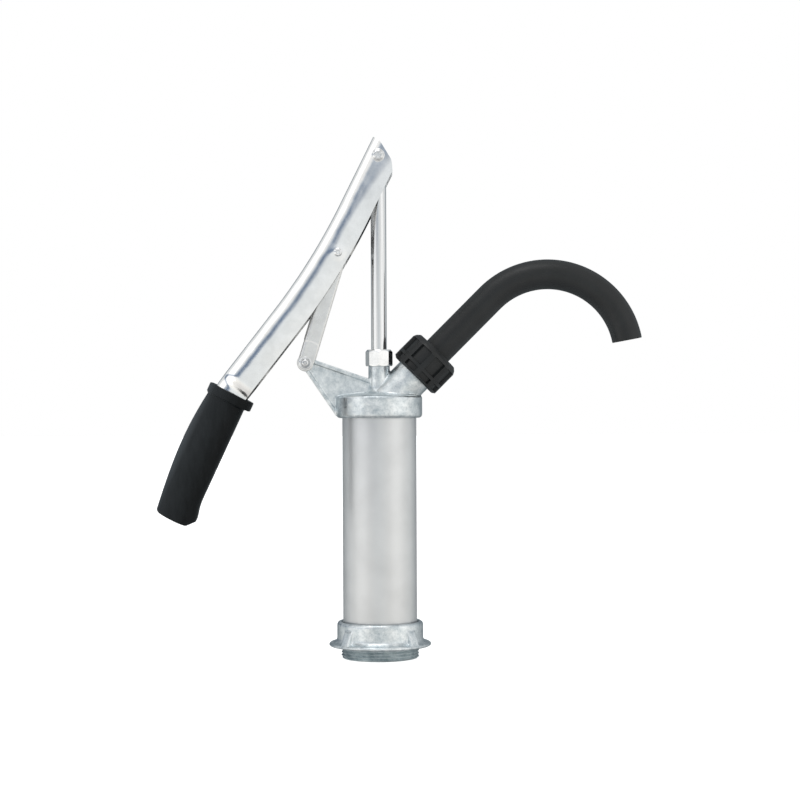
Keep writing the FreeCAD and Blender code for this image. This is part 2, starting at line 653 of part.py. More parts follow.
def rod_spacers():
    """Two washers that centre the rod's eye in the lever."""
    gap = (LEVER_INNER_W / 2 - ROD_R) - SEAT_GAP - SPACER_END_GAP
    spacers = []
    for side in (-1, 1):
        near = ROD_R + SEAT_GAP
        low = near if side > 0 else -near - gap
        washer = cross_disc(PIN_R + SPACER_WALL, (0, ROD_EYE_Z), low, low + gap)
        spacers.append(washer.cut(cross_cyl(PIN_R + SEAT_GAP, (0, ROD_EYE_Z), LEVER_W)))
    return Part.Compound(spacers)


# ---- lever -------------------------------------------------------------------------------------
def channel_wire(origin, angle, width, wall, depth, bend, inner):
    """Outline of the channel, or of its hollow, square to the lever at a point of its back."""
    across = direction(angle - 90)
    half = width / 2 - (wall if inner else 0)
    near = wall if inner else 0.0
    far = depth + (5.0 if inner else 0.0)
    radius = bend - (wall if inner else 0)

    def place(y, down):
        return vec(origin[0] + across[0] * down, y, origin[1] + across[1] * down)

    mid = radius * (1 - math.sqrt(0.5))
    left = Part.Arc(place(-half, near + radius), place(-half + mid, near + mid), place(-half + radius, near))
    right = Part.Arc(place(half - radius, near), place(half - mid, near + mid), place(half, near + radius))
    left_side = Part.LineSegment(place(-half, far), place(-half, near + radius))
    back = Part.LineSegment(place(-half + radius, near), place(half - radius, near))
    right_side = Part.LineSegment(place(half, near + radius), place(half, far))
    front = Part.LineSegment(place(half, far), place(-half, far))
    return Part.Wire([line.toShape() for line in (left_side, left, back, right, right_side, front)])


class ChannelPath:
    """Walks down the lever's back and grows the channel, stretch by stretch."""

    def __init__(self, start, angle, width, depth, inner):
        self.point = start
        self.angle = angle
        self.width = width
        self.depth = depth
        self.inner = inner
        self.solid = None

    def face(self):
        """The channel's section at the present point."""
        return Part.Face(self.wire())

    def wire(self):
        """Outline of the channel's section at the present point."""
        return channel_wire(self.point, self.angle, self.width, LEVER_T, self.depth, LEVER_BEND_R, self.inner)

    def add(self, piece):
        """Join a stretch to what is there."""
        self.solid = piece if self.solid is None else self.solid.fuse(piece)

    def straight(self, length):
        """A straight stretch."""
        step = direction(self.angle)
        self.add(self.face().extrude(vec(step[0] * length, 0, step[1] * length)))
        self.point = (self.point[0] + step[0] * length, self.point[1] + step[1] * length)

    def bend(self, radius, turn):
        """A bend of a given radius; a positive turn leans further to -X."""
        side = 1 if turn > 0 else -1
        outward = direction(self.angle + 90 * side)
        centre = (self.point[0] + outward[0] * radius, self.point[1] + outward[1] * radius)
        self.add(self.face().revolve(vec(centre[0], 0, centre[1]), vec(0, 1, 0), turn))
        self.angle += turn
        back = direction(self.angle + 90 * side)
        self.point = (centre[0] - back[0] * radius, centre[1] - back[1] * radius)

    def narrow(self, width, depth, length):
        """A stretch over which the channel gets narrower or shallower."""
        first = self.wire()
        step = direction(self.angle)
        self.point = (self.point[0] + step[0] * length, self.point[1] + step[1] * length)
        self.width = width
        self.depth = depth
        self.add(Part.makeLoft([first, self.wire()], True, True))


def lever_frame():
    """The lever's tip-end start point on its back, and the way it runs."""
    down = direction(TIP_ANGLE)
    across = direction(TIP_ANGLE - 90)
    back = (-across[0] * PIVOT_DEPTH, ROD_EYE_Z - across[1] * PIVOT_DEPTH)
    start = (back[0] - down[0] * TIP_OVERHANG, back[1] - down[1] * TIP_OVERHANG)
    return start, down, across


def lever_channel(inner, shank=SHANK_LEN):
    """The lever's outer body, or its hollow, as one solid along the whole path."""
    start, down, across = lever_frame()
    extra = 3.0 if inner else 0.0
    first = (start[0] - down[0] * extra, start[1] - down[1] * extra)
    path = ChannelPath(first, TIP_ANGLE, LEVER_W, LEVER_DEPTH, inner)
    path.straight(TIP_OVERHANG + TIP_STRAIGHT - PIVOT_DEPTH + extra)
    path.bend(LONG_BEND_R, MID_ANGLE - TIP_ANGLE)
    path.straight(MID_LEN - LEVER_NECK_LEN)
    path.narrow(LEVER_NARROW_W, LEVER_DEPTH, LEVER_NECK_LEN)
    path.bend(SHANK_BEND_R, SHANK_ANGLE - MID_ANGLE)
    if shank > 0:
        path.narrow(LEVER_NARROW_W, SHANK_DEPTH, SHANK_TAPER_LEN)
        path.straight(shank - SHANK_TAPER_LEN + extra)
    return path


def lever_point(along, depth):
    """An (x, z) point from distances down the lever and below its back, from the tip's end."""
    start, down, across = lever_frame()
    return (start[0] + down[0] * along + across[0] * depth, start[1] + down[1] * along + across[1] * depth)


def tip_cut():
    """Wedge that trims the flanges at the lever's tip."""
    start, knee, end = TIP_CUT
    outline = [lever_point(-LEVER_DEPTH, start[1]), lever_point(*start), lever_point(*knee),
               lever_point(*end), lever_point(end[0], LEVER_DEPTH * 2),
               lever_point(-LEVER_DEPTH, LEVER_DEPTH * 2)]
    return prism(outline, -LEVER_W, LEVER_W)


def lever():
    """Pressed channel with raised bosses and holes for the two pins."""
    outer = lever_channel(False).solid
    hollow = lever_channel(True).solid
    body = outer.cut(hollow).cut(tip_cut())
    for side in (-1, 1):
        face = LEVER_W / 2
        body = body.fuse(cross_band(BOSS_R, PIVOT_LINK, side, face - LEVER_T / 4, face + BOSS_H))
    body = body.cut(cross_cyl(RIVET_R * RIVET_SHANK, PIVOT_LINK, LEVER_W))
    return body.cut(cross_cyl(PIN_R + SEAT_GAP, (0, ROD_EYE_Z), LEVER_W)).Solids[0]


def lever_pin():
    """Pin through the lever and the rod's eye."""
    return cross_cyl(PIN_R, (0, ROD_EYE_Z), LEVER_W / 2 + CAP_NUT_H - CAP_CROWN_T)


def lever_pin_caps():
    """Push-on caps on both ends of the lever pin."""
    caps = []
    for side in (-1, 1):
        low = LEVER_W / 2 + SEAT_GAP if side > 0 else -LEVER_W / 2 - SEAT_GAP - CAP_NUT_H
        cap = cross_disc(CAP_NUT_R, (0, ROD_EYE_Z), low, low + CAP_NUT_H)
        face = LEVER_W / 2 + SEAT_GAP + CAP_NUT_H
        cap = fillet_at(cap, 1.0, lambda edge: abs(abs(edge.CenterOfMass.y) - face) < 0.01)
        caps.append(cap.cut(cross_cyl(PIN_R + SEAT_GAP, (0, ROD_EYE_Z), face - CAP_CROWN_T)))
    return Part.Compound(caps)


def link_pin_heads():
    """Riveted heads of the link pin, one in each flange of the lever."""
    heads = []
    for side in (-1, 1):
        face = LEVER_W / 2 + BOSS_H + SEAT_GAP
        middle = vec(PIVOT_LINK[0], side * (face - RIVET_R * 0.6), PIVOT_LINK[1])
        dome = Part.makeSphere(RIVET_R * RIVET_DOME, middle)
        slab = cross_band(RIVET_R, PIVOT_LINK, side, face, face + RIVET_H)
        shank_r = RIVET_R * RIVET_SHANK - SEAT_GAP
        shank = cross_band(shank_r, PIVOT_LINK, side, LEVER_INNER_W / 2, face + RIVET_H / 5)
        heads.append(dome.common(slab).fuse(shank).removeSplitter())
    return Part.Compound(heads)


def grip_section(path, share):
    """The grip's outline at a share of its length, square to the shank."""
    swell = math.sin(math.pi * share ** 0.9)
    foot = math.exp(-((share - 0.93) / 0.05) ** 2)
    half = LEVER_NARROW_W / 2 + GRIP_SIDE_WALL + GRIP_SIDE_BULGE * swell
    top = -GRIP_BACK_WALL - GRIP_BACK_BULGE * swell
    low = SHANK_DEPTH + GRIP_FRONT_WALL + GRIP_FOOT_FLARE * foot
    return rounded_section(path, share * GRIP_LEN - GRIP_OVER_BEND, half, top, low, GRIP_CORNER)


def grip():
    """Moulded sleeve over the shank: a collar, a swelling body and a closed end."""
    path = lever_channel(False, 0)
    shares = (0.04, 0.15, 0.3, 0.45, 0.6, 0.75, 0.86, 0.93, 1.0)
    body = Part.makeLoft([grip_section(path, share) for share in shares], True, False)
    collar_low = GRIP_COLLAR_LOW - GRIP_OVER_BEND
    half = LEVER_NARROW_W / 2 + GRIP_SIDE_WALL + GRIP_COLLAR_OUT
    top = -GRIP_BACK_WALL - GRIP_COLLAR_OUT
    low = LEVER_DEPTH + GRIP_FRONT_WALL + GRIP_COLLAR_OUT * 0.6
    first = rounded_section(path, collar_low, half, top, low, GRIP_CORNER + GRIP_COLLAR_OUT / 2)
    down = direction(path.angle)
    collar = Part.Face(first).extrude(vec(down[0] * GRIP_COLLAR_T, 0, down[1] * GRIP_COLLAR_T))
    collar = collar.makeFillet(GRIP_COLLAR_ROUND, [edge for edge in collar.Edges if not is_along(edge, down)])
    return body.fuse(collar).cut(shank_space()).removeSplitter()


def is_along(edge, down):
    """Whether a straight edge runs along the grip."""
    tangent = edge.tangentAt(edge.FirstParameter)
    return abs(tangent.x * down[0] + tangent.z * down[1]) > 0.9


def rounded_section(path, along, half, top, low, corner):
    """Rounded rectangle square to the shank, as a wire; along is measured from the end of the bend."""
    down = direction(path.angle)
    across = direction(path.angle - 90)

    def place(y, depth):
        return vec(path.point[0] + down[0] * along + across[0] * depth, y,
                   path.point[1] + down[1] * along + across[1] * depth)

    mid = corner * (1 - math.sqrt(0.5))
    arcs = [Part.Arc(place(-half, top + corner), place(-half + mid, top + mid), place(-half + corner, top)),
            Part.Arc(place(half - corner, top), place(half - mid, top + mid), place(half, top + corner)),
            Part.Arc(place(half, low - corner), place(half - mid, low - mid), place(half - corner, low)),
            Part.Arc(place(-half + corner, low), place(-half + mid, low - mid), place(-half, low - corner))]
    edges = []
    for index, arc in enumerate(arcs):
        edges.append(arc.toShape())
        following = arcs[(index + 1) % len(arcs)]
        gap = Part.LineSegment(arc.value(arc.LastParameter), following.value(following.FirstParameter))
        edges.append(gap.toShape())
    return Part.Wire(edges)


def shank_space():
    """Space in the grip for the lever: its filled body, with a small gap along the shank."""
    space = lever_channel(False).solid
    path = lever_channel(False, 0)
    section = rounded_section(path, SHANK_TAPER_LEN, LEVER_NARROW_W / 2 + SEAT_GAP, -SEAT_GAP,
                              SHANK_DEPTH + SEAT_GAP, 2.0)
    down = direction(path.angle)
    reach = SHANK_LEN - SHANK_TAPER_LEN + SEAT_GAP
    return space.fuse(Part.Face(section).extrude(vec(down[0] * reach, 0, down[1] * reach)))


# ---- link and pins -----------------------------------------------------------------------------
def link():
    """Pressed channel between the arm and the lever, with round ends."""
    dx = PIVOT_LINK[0] - PIVOT_ARM[0]
    dz = PIVOT_LINK[1] - PIVOT_ARM[1]
    length = math.hypot(dx, dz)
    lean = math.degrees(math.atan2(dx, dz))
    half = LINK_FLANGE / 2
    slab = Part.makeBox(LINK_FLANGE, LINK_OUTER_W, length - half, vec(-half, -LINK_OUTER_W / 2, 0))
    back_edges = [edge for edge in slab.Edges if abs(edge.CenterOfMass.x + half) < 0.01
                  and abs(edge.CenterOfMass.z - (length - half) / 2) < 0.01]
    slab = slab.makeFillet(LINK_BEND_R, back_edges)
    taper = [(-half, length - half), (half, length - half), (LINK_TOP_R, length), (-LINK_TOP_R, length)]
    shoulder = prism(taper, -LINK_OUTER_W / 2, LINK_OUTER_W / 2)
    flanges = slab.fuse(cross_cyl(half, (0, 0), LINK_OUTER_W / 2)).fuse(shoulder)
    flanges = flanges.fuse(cross_cyl(LINK_TOP_R, (0, length), LINK_OUTER_W / 2))
    hollow = Part.makeBox(LINK_FLANGE + half, LINK_INNER_W, length + 4 * half,
                          vec(-half + LINK_T, -LINK_INNER_W / 2, -2 * half))
    low_gap = Part.makeBox(LINK_FLANGE * 2, LINK_INNER_W, LINK_WEB_START + 2 * half,
                           vec(-LINK_FLANGE, -LINK_INNER_W / 2, -2 * half))
    high_gap = Part.makeBox(LINK_FLANGE * 2, LINK_INNER_W, LINK_WEB_END + 2 * half,
                            vec(-LINK_FLANGE, -LINK_INNER_W / 2, length - LINK_WEB_END))
    body = flanges.cut(hollow).cut(low_gap).cut(high_gap)
    body = body.cut(cross_cyl(PIN_R + RUN_GAP, (0, 0), LINK_OUTER_W))
    body = body.cut(cross_cyl(PIN_R + SEAT_GAP, (0, length), LINK_OUTER_W))
    body.rotate(vec(0, 0, 0), vec(0, 1, 0), lean)
    body.translate(vec(PIVOT_ARM[0], 0, PIVOT_ARM[1]))
    return body.removeSplitter()


def link_pin():
    """Barrel of the link pin, between the lever's flanges."""
    return cross_cyl(PIN_R, PIVOT_LINK, LEVER_INNER_W / 2 - 0.5)


def arm_pin():
    """Pin fixed in the arm's boss, with a small round head at each end."""
    reach = LINK_OUTER_W / 2 + ARM_WASHER_T + 2 * SEAT_GAP
    pin = cross_cyl(PIN_R, PIVOT_ARM, reach)
    for side in (-1, 1):
        near = side * reach
        far = side * (reach + 1.3)
        head = cross_disc(ARM_HEAD_R, PIVOT_ARM, min(near, far), max(near, far))
        pin = pin.fuse(head)
    return fillet_at(pin, 0.7, lambda edge: abs(abs(edge.CenterOfMass.y) - reach - 1.3) < 0.01)


def arm_pin_washers():
    """Washers on the arm pin, outside the link."""
    washers = []
    for side in (-1, 1):
        near = LINK_OUTER_W / 2 + SEAT_GAP
        low = near if side > 0 else -near - ARM_WASHER_T
        washer = cross_disc(ARM_WASHER_R, PIVOT_ARM, low, low + ARM_WASHER_T)
        washers.append(washer.cut(cross_cyl(PIN_R + SEAT_GAP, PIVOT_ARM, LINK_OUTER_W)))
    return Part.Compound(washers)


NODES = {
    "drum_adapter": drum_adapter,
    "foot_valve_seat": foot_valve_seat,
    "foot_valve_stem": foot_valve_stem,
    "foot_valve_disc": foot_valve_disc,
    "base_gasket": base_gasket,
    "cylinder_tube": cylinder_tube,
    "head_gasket": head_gasket,
    "pump_head": pump_head,
    "rod_bush": rod_bush,
    "gland_nut": gland_nut,
    "gland_washer": gland_washer,
    "gland_packing": gland_packing,
    "outlet_gasket": outlet_gasket,
    "union_nut": union_nut,
    "spout": spout,
    "piston_rod": piston_rod,
    "piston_stop": piston_stop,
    "piston_sleeve": piston_sleeve,
    "piston_valve": piston_valve,
    "piston_body": piston_body,
    "piston_cup": piston_cup,
    "piston_clamp": piston_clamp,
    "piston_nut": piston_nut,
    "rod_spacers": rod_spacers,
    "lever": lever,
    "lever_pin": lever_pin,
    "lever_pin_caps": lever_pin_caps,
    "link_pin_heads": link_pin_heads,
    "grip": grip,
    "link": link,
    "link_pin": link_pin,
    "arm_pin": arm_pin,
    "arm_pin_washers": arm_pin_washers,
}

os.makedirs("parts", exist_ok=True)
for name, build in NODES.items():
    shape = build()
    shape.exportStep("parts/" + name + ".step")
    box = shape.BoundBox
    print(name, "solids", len(shape.Solids), "valid", shape.isValid(), "volume", round(shape.Volume),
          "x", round(box.XMin, 1), round(box.XMax, 1), "z", round(box.ZMin, 1), round(box.ZMax, 1))
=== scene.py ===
import logging
import math
from dataclasses import dataclass
from enum import Enum

import bpy
import numpy as np
from mathutils import Matrix, Vector


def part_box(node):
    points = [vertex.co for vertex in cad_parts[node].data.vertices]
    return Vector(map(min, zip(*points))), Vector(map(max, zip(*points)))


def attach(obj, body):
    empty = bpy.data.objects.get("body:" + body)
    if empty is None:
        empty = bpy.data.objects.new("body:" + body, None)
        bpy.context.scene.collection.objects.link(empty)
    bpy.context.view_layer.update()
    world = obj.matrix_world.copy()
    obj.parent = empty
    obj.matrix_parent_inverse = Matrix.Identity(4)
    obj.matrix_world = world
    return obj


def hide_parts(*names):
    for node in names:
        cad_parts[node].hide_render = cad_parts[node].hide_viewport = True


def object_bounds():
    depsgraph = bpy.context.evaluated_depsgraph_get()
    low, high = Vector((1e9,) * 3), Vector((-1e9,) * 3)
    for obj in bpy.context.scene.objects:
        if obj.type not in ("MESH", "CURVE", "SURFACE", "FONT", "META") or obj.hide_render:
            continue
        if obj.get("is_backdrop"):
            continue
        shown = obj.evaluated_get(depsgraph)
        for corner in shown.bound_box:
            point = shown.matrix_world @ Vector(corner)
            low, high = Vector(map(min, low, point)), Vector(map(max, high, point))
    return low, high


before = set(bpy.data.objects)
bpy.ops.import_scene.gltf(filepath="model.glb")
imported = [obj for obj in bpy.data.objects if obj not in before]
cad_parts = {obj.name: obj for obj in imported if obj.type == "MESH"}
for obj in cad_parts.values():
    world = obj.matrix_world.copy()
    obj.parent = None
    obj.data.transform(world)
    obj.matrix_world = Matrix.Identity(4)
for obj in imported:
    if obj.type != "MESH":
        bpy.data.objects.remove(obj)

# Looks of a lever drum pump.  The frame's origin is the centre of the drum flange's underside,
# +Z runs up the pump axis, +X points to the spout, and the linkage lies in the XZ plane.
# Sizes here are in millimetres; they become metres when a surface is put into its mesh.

LOG = logging.getLogger("drum_pump")
MM = 0.001


class Body(str, Enum):
    """The bodies that the new pieces ride on."""

    PUMP = "pump_body"
    LEVER = "lever_body"
    LINK = "link_body"
    UNION_NUT = "union_nut_body"
    SPOUT = "spout_body"


class Slot(str, Enum):
    """The record's material slots that go with the new pieces' finishes."""

    DIE_CAST = "die_cast_metal"
    PAINT = "grey_paint"
    BRIGHT = "bright_plate"
    SHEET = "chromed_sheet"
    ZINC = "zinc_sheet"
    BLACK_PLASTIC = "black_plastic"
    BLACK_RUBBER = "black_rubber"


# ---- surfaces ----------------------------------------------------------------------------------
def grid_faces(rows: int, columns: int, wrap_rows: bool, wrap_columns: bool) -> np.ndarray:
    """Corner numbers of the quads of a grid of points.

    Each quad joins a point to its neighbours in the next column and the next row.

    Args:
        rows: Points along the first direction.
        columns: Points along the second direction.
        wrap_rows: Whether the last row joins the first.
        wrap_columns: Whether the last column joins the first.

    Returns:
        An array of quads, four point numbers each.
    """
    first, second = np.meshgrid(np.arange(rows if wrap_rows else rows - 1),
                                np.arange(columns if wrap_columns else columns - 1), indexing="ij")
    next_row = (first + 1) % rows * columns
    next_column = (second + 1) % columns
    here = first * columns
    corners = [here + second, here + next_column, next_row + next_column, next_row + second]
    return np.stack(corners, -1).reshape(-1, 4)


def signed_volume(points: np.ndarray, faces: list[list[int]]) -> float:
    """Six times the volume inside the faces, negative if they point inwards.

    Each face is cut into a fan of triangles, and each triangle adds the triple product of its corners.

    Args:
        points: Point positions, one row each.
        faces: Point numbers of each face.

    Returns:
        The signed sum.
    """
    quads = np.array([face for face in faces if len(face) == 4])
    total = 0.0
    for second, third in ((1, 2), (2, 3)):
        corners = points[quads[:, 0]], points[quads[:, second]], points[quads[:, third]]
        total += float(np.einsum("ij,ij->", corners[0], np.cross(corners[1], corners[2])))
    for face in (face for face in faces if len(face) != 4):
        ring = points[face]
        total += float(np.einsum("ij,ij->", np.broadcast_to(ring[0], ring[1:-1].shape),
                                 np.cross(ring[1:-1], ring[2:])))
    return total


def make_piece(name: str, points: np.ndarray, faces: list[list[int]],
               sharp: float = 34.0) -> bpy.types.Object:
    """Put a surface into a new object whose place is in its mesh.

    Args:
        name: The piece's name.
        points: Point positions in millimetres, one row each.
        faces: Point numbers of each face, all turned the same way.
        sharp: Edges with a larger angle than this, in degrees, stay sharp.

    Returns:
        The new object, with faces pointing outwards.
    """
    if signed_volume(points, faces) < 0:
        faces = [face[::-1] for face in faces]
    mesh = bpy.data.meshes.new(name)
    mesh.from_pydata((points * MM).tolist(), [], faces)
    mesh.shade_smooth()
    mesh.set_sharp_from_angle(angle=math.radians(sharp))
    mesh.update()
    piece = bpy.data.objects.new(name, mesh)
    bpy.context.scene.collection.objects.link(piece)
    return piece


def closed_grid(name: str, grid: np.ndarray, sharp: float = 34.0) -> bpy.types.Object:
    """A piece from a grid that closes on itself both ways, as a ring's surface does.

    Args:
        name: The piece's name.
        grid: Points, rows by columns by three.
        sharp: The sharp edges' least angle.

    Returns:
        The new object.
    """
    rows, columns = grid.shape[:2]
    return make_piece(name, grid.reshape(-1, 3), grid_faces(rows, columns, True, True).tolist(), sharp)


def capped_grid(name: str, grid: np.ndarray, sharp: float = 34.0) -> bpy.types.Object:
    """A piece from rings in a row, with a flat face closing the first and the last.

    Args:
        name: The piece's name.
        grid: Points, rings by points of a ring by three.
        sharp: The sharp edges' least angle.

    Returns:
        The new object.
    """
    rows, columns = grid.shape[:2]
    faces = grid_faces(rows, columns, False, True).tolist()
    faces.append(list(range(columns - 1, -1, -1)))
    faces.append(list(range((rows - 1) * columns, rows * columns)))
    return make_piece(name, grid.reshape(-1, 3), faces, sharp)


def rounded_loop(corners: list[tuple[float, float, float]], steps: int = 5) -> np.ndarray:
    """A closed outline with each corner replaced by an arc.

    Each corner gives its place and its radius. The arc touches both sides at the radius divided by
    the tangent of half the corner's angle, and is drawn as a blend of the two tangent points about
    the arc's centre.

    Args:
        corners: Place and radius of each corner, in order.
        steps: Stretches in each arc.

    Returns:
        The outline's points, one row each.
    """
    spots = np.array([corner[:2] for corner in corners], float)
    parts = []
    for index, corner in enumerate(corners):
        here = spots[index]
        before = spots[index - 1] - here
        after = spots[(index + 1) % len(spots)] - here
        before_len, after_len = np.linalg.norm(before), np.linalg.norm(after)
        before, after = before / before_len, after / after_len
        half = math.acos(float(np.clip(before @ after, -1, 1))) / 2
        if corner[2] <= 0 or half > math.radians(89):
            parts.append(here[None])
            continue
        reach = min(corner[2] / math.tan(half), 0.49 * before_len, 0.49 * after_len)
        radius = reach * math.tan(half)
        middle = (before + after) / np.linalg.norm(before + after)
        centre = here + middle * radius / math.sin(half)
        first, last = here + before * reach - centre, here + after * reach - centre
        share = np.linspace(0, 1, steps + 1)[:, None]
        spread = math.pi - 2 * half
        blend = np.sin((1 - share) * spread) * first + np.sin(share * spread) * last
        parts.append(centre + blend / math.sin(spread))
    return np.concatenate(parts)


def around_z(radius: np.ndarray, angle: np.ndarray, height: np.ndarray) -> np.ndarray:
    """Points at radii and angles about the Z axis.

    Args:
        radius: Distances from the axis, in rows of one height.
        angle: Angles in radians, one row.
        height: Heights, one column.

    Returns:
        Points, rows by columns by three.
    """
    return np.stack([radius * np.cos(angle), radius * np.sin(angle), height + 0 * radius * angle], -1)


def lathe(loop: np.ndarray, segments: int = 128) -> np.ndarray:
    """Turn a closed (radius, height) outline about the Z axis.

    Args:
        loop: The outline's points.
        segments: Steps round the axis.

    Returns:
        A grid that closes on itself both ways.
    """
    angle = np.linspace(0, 2 * math.pi, segments, endpoint=False)
    return around_z(loop[:, :1], angle, loop[:, 1:2])


def with_bore(radius: np.ndarray, height: np.ndarray, angle: np.ndarray,
              bore: list[tuple[float, float]]) -> np.ndarray:
    """A grid round the Z axis whose outside changes with the angle and whose inside is turned.

    Args:
        radius: The outside's radii, heights by angles.
        height: The outside's heights.
        angle: Angles in radians.
        bore: Radius and height of the inside's rows, from the top down.

    Returns:
        A grid that closes on itself both ways.
    """
    inside = np.array(bore)
    radius = np.concatenate([radius, np.repeat(inside[:, :1], angle.size, 1)])
    level = np.concatenate([height.ravel(), inside[:, 1]])[:, None]
    return around_z(radius, angle.ravel(), level)


def mesh_points(mesh: bpy.types.Mesh) -> np.ndarray:
    """The places of a mesh's vertices in millimetres, one row each."""
    spots = np.zeros(len(mesh.vertices) * 3)
    mesh.vertices.foreach_get("co", spots)
    return spots.reshape(-1, 3) / MM


def move_points(mesh: bpy.types.Mesh, spots: np.ndarray) -> None:
    """Put a mesh's vertices at places given in millimetres, one row each."""
    mesh.vertices.foreach_set("co", (spots * MM).ravel())
    mesh.update()


def about_pin(grid: np.ndarray, pivot: tuple[float, float], side: int) -> np.ndarray:
    """Carry a surface made on the Z axis to a cross pin, its height running outwards along Y.

    Args:
        grid: The points.
        pivot: X and Z of the pin.
        side: -1 for the near side, 1 for the far side.

    Returns:
        The moved points.
    """
    return np.stack([grid[..., 0] + pivot[0], grid[..., 2] * side, grid[..., 1] + pivot[1]], -1)


def smooth_step(value: np.ndarray) -> np.ndarray:
    """Zero below 0, one above 1, and an even S-shaped rise between."""
    share = np.clip(value, 0, 1)
    return share * share * (3 - 2 * share)


def heading(degrees: np.ndarray) -> tuple[np.ndarray, np.ndarray]:
    """X and Z of a unit vector that leans to -X by an angle from straight down."""
    return -np.sin(np.radians(degrees)), -np.cos(np.radians(degrees))


def dress(piece: bpy.types.Object, body: Body, slot: Slot, finish: "Finish", *nodes: str) -> bpy.types.Object:
    """Give a piece its finish, its body and the CAD nodes that it stands for.

    Args:
        piece: The finished piece.
        body: The body that it rides on.
        slot: The record's slot of its finish; not used.
        finish: What its surface looks like.
        nodes: The CAD nodes that it replaces.

    Returns:
        The same piece.
    """
    piece.data.materials.clear()
    piece.data.materials.append(finish.material())
    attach(piece, body.value)
    if nodes:
        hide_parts(*nodes)
    LOG.info("%s: %d faces, rides on %s", piece.name, len(piece.data.polygons), body.value)
    return piece


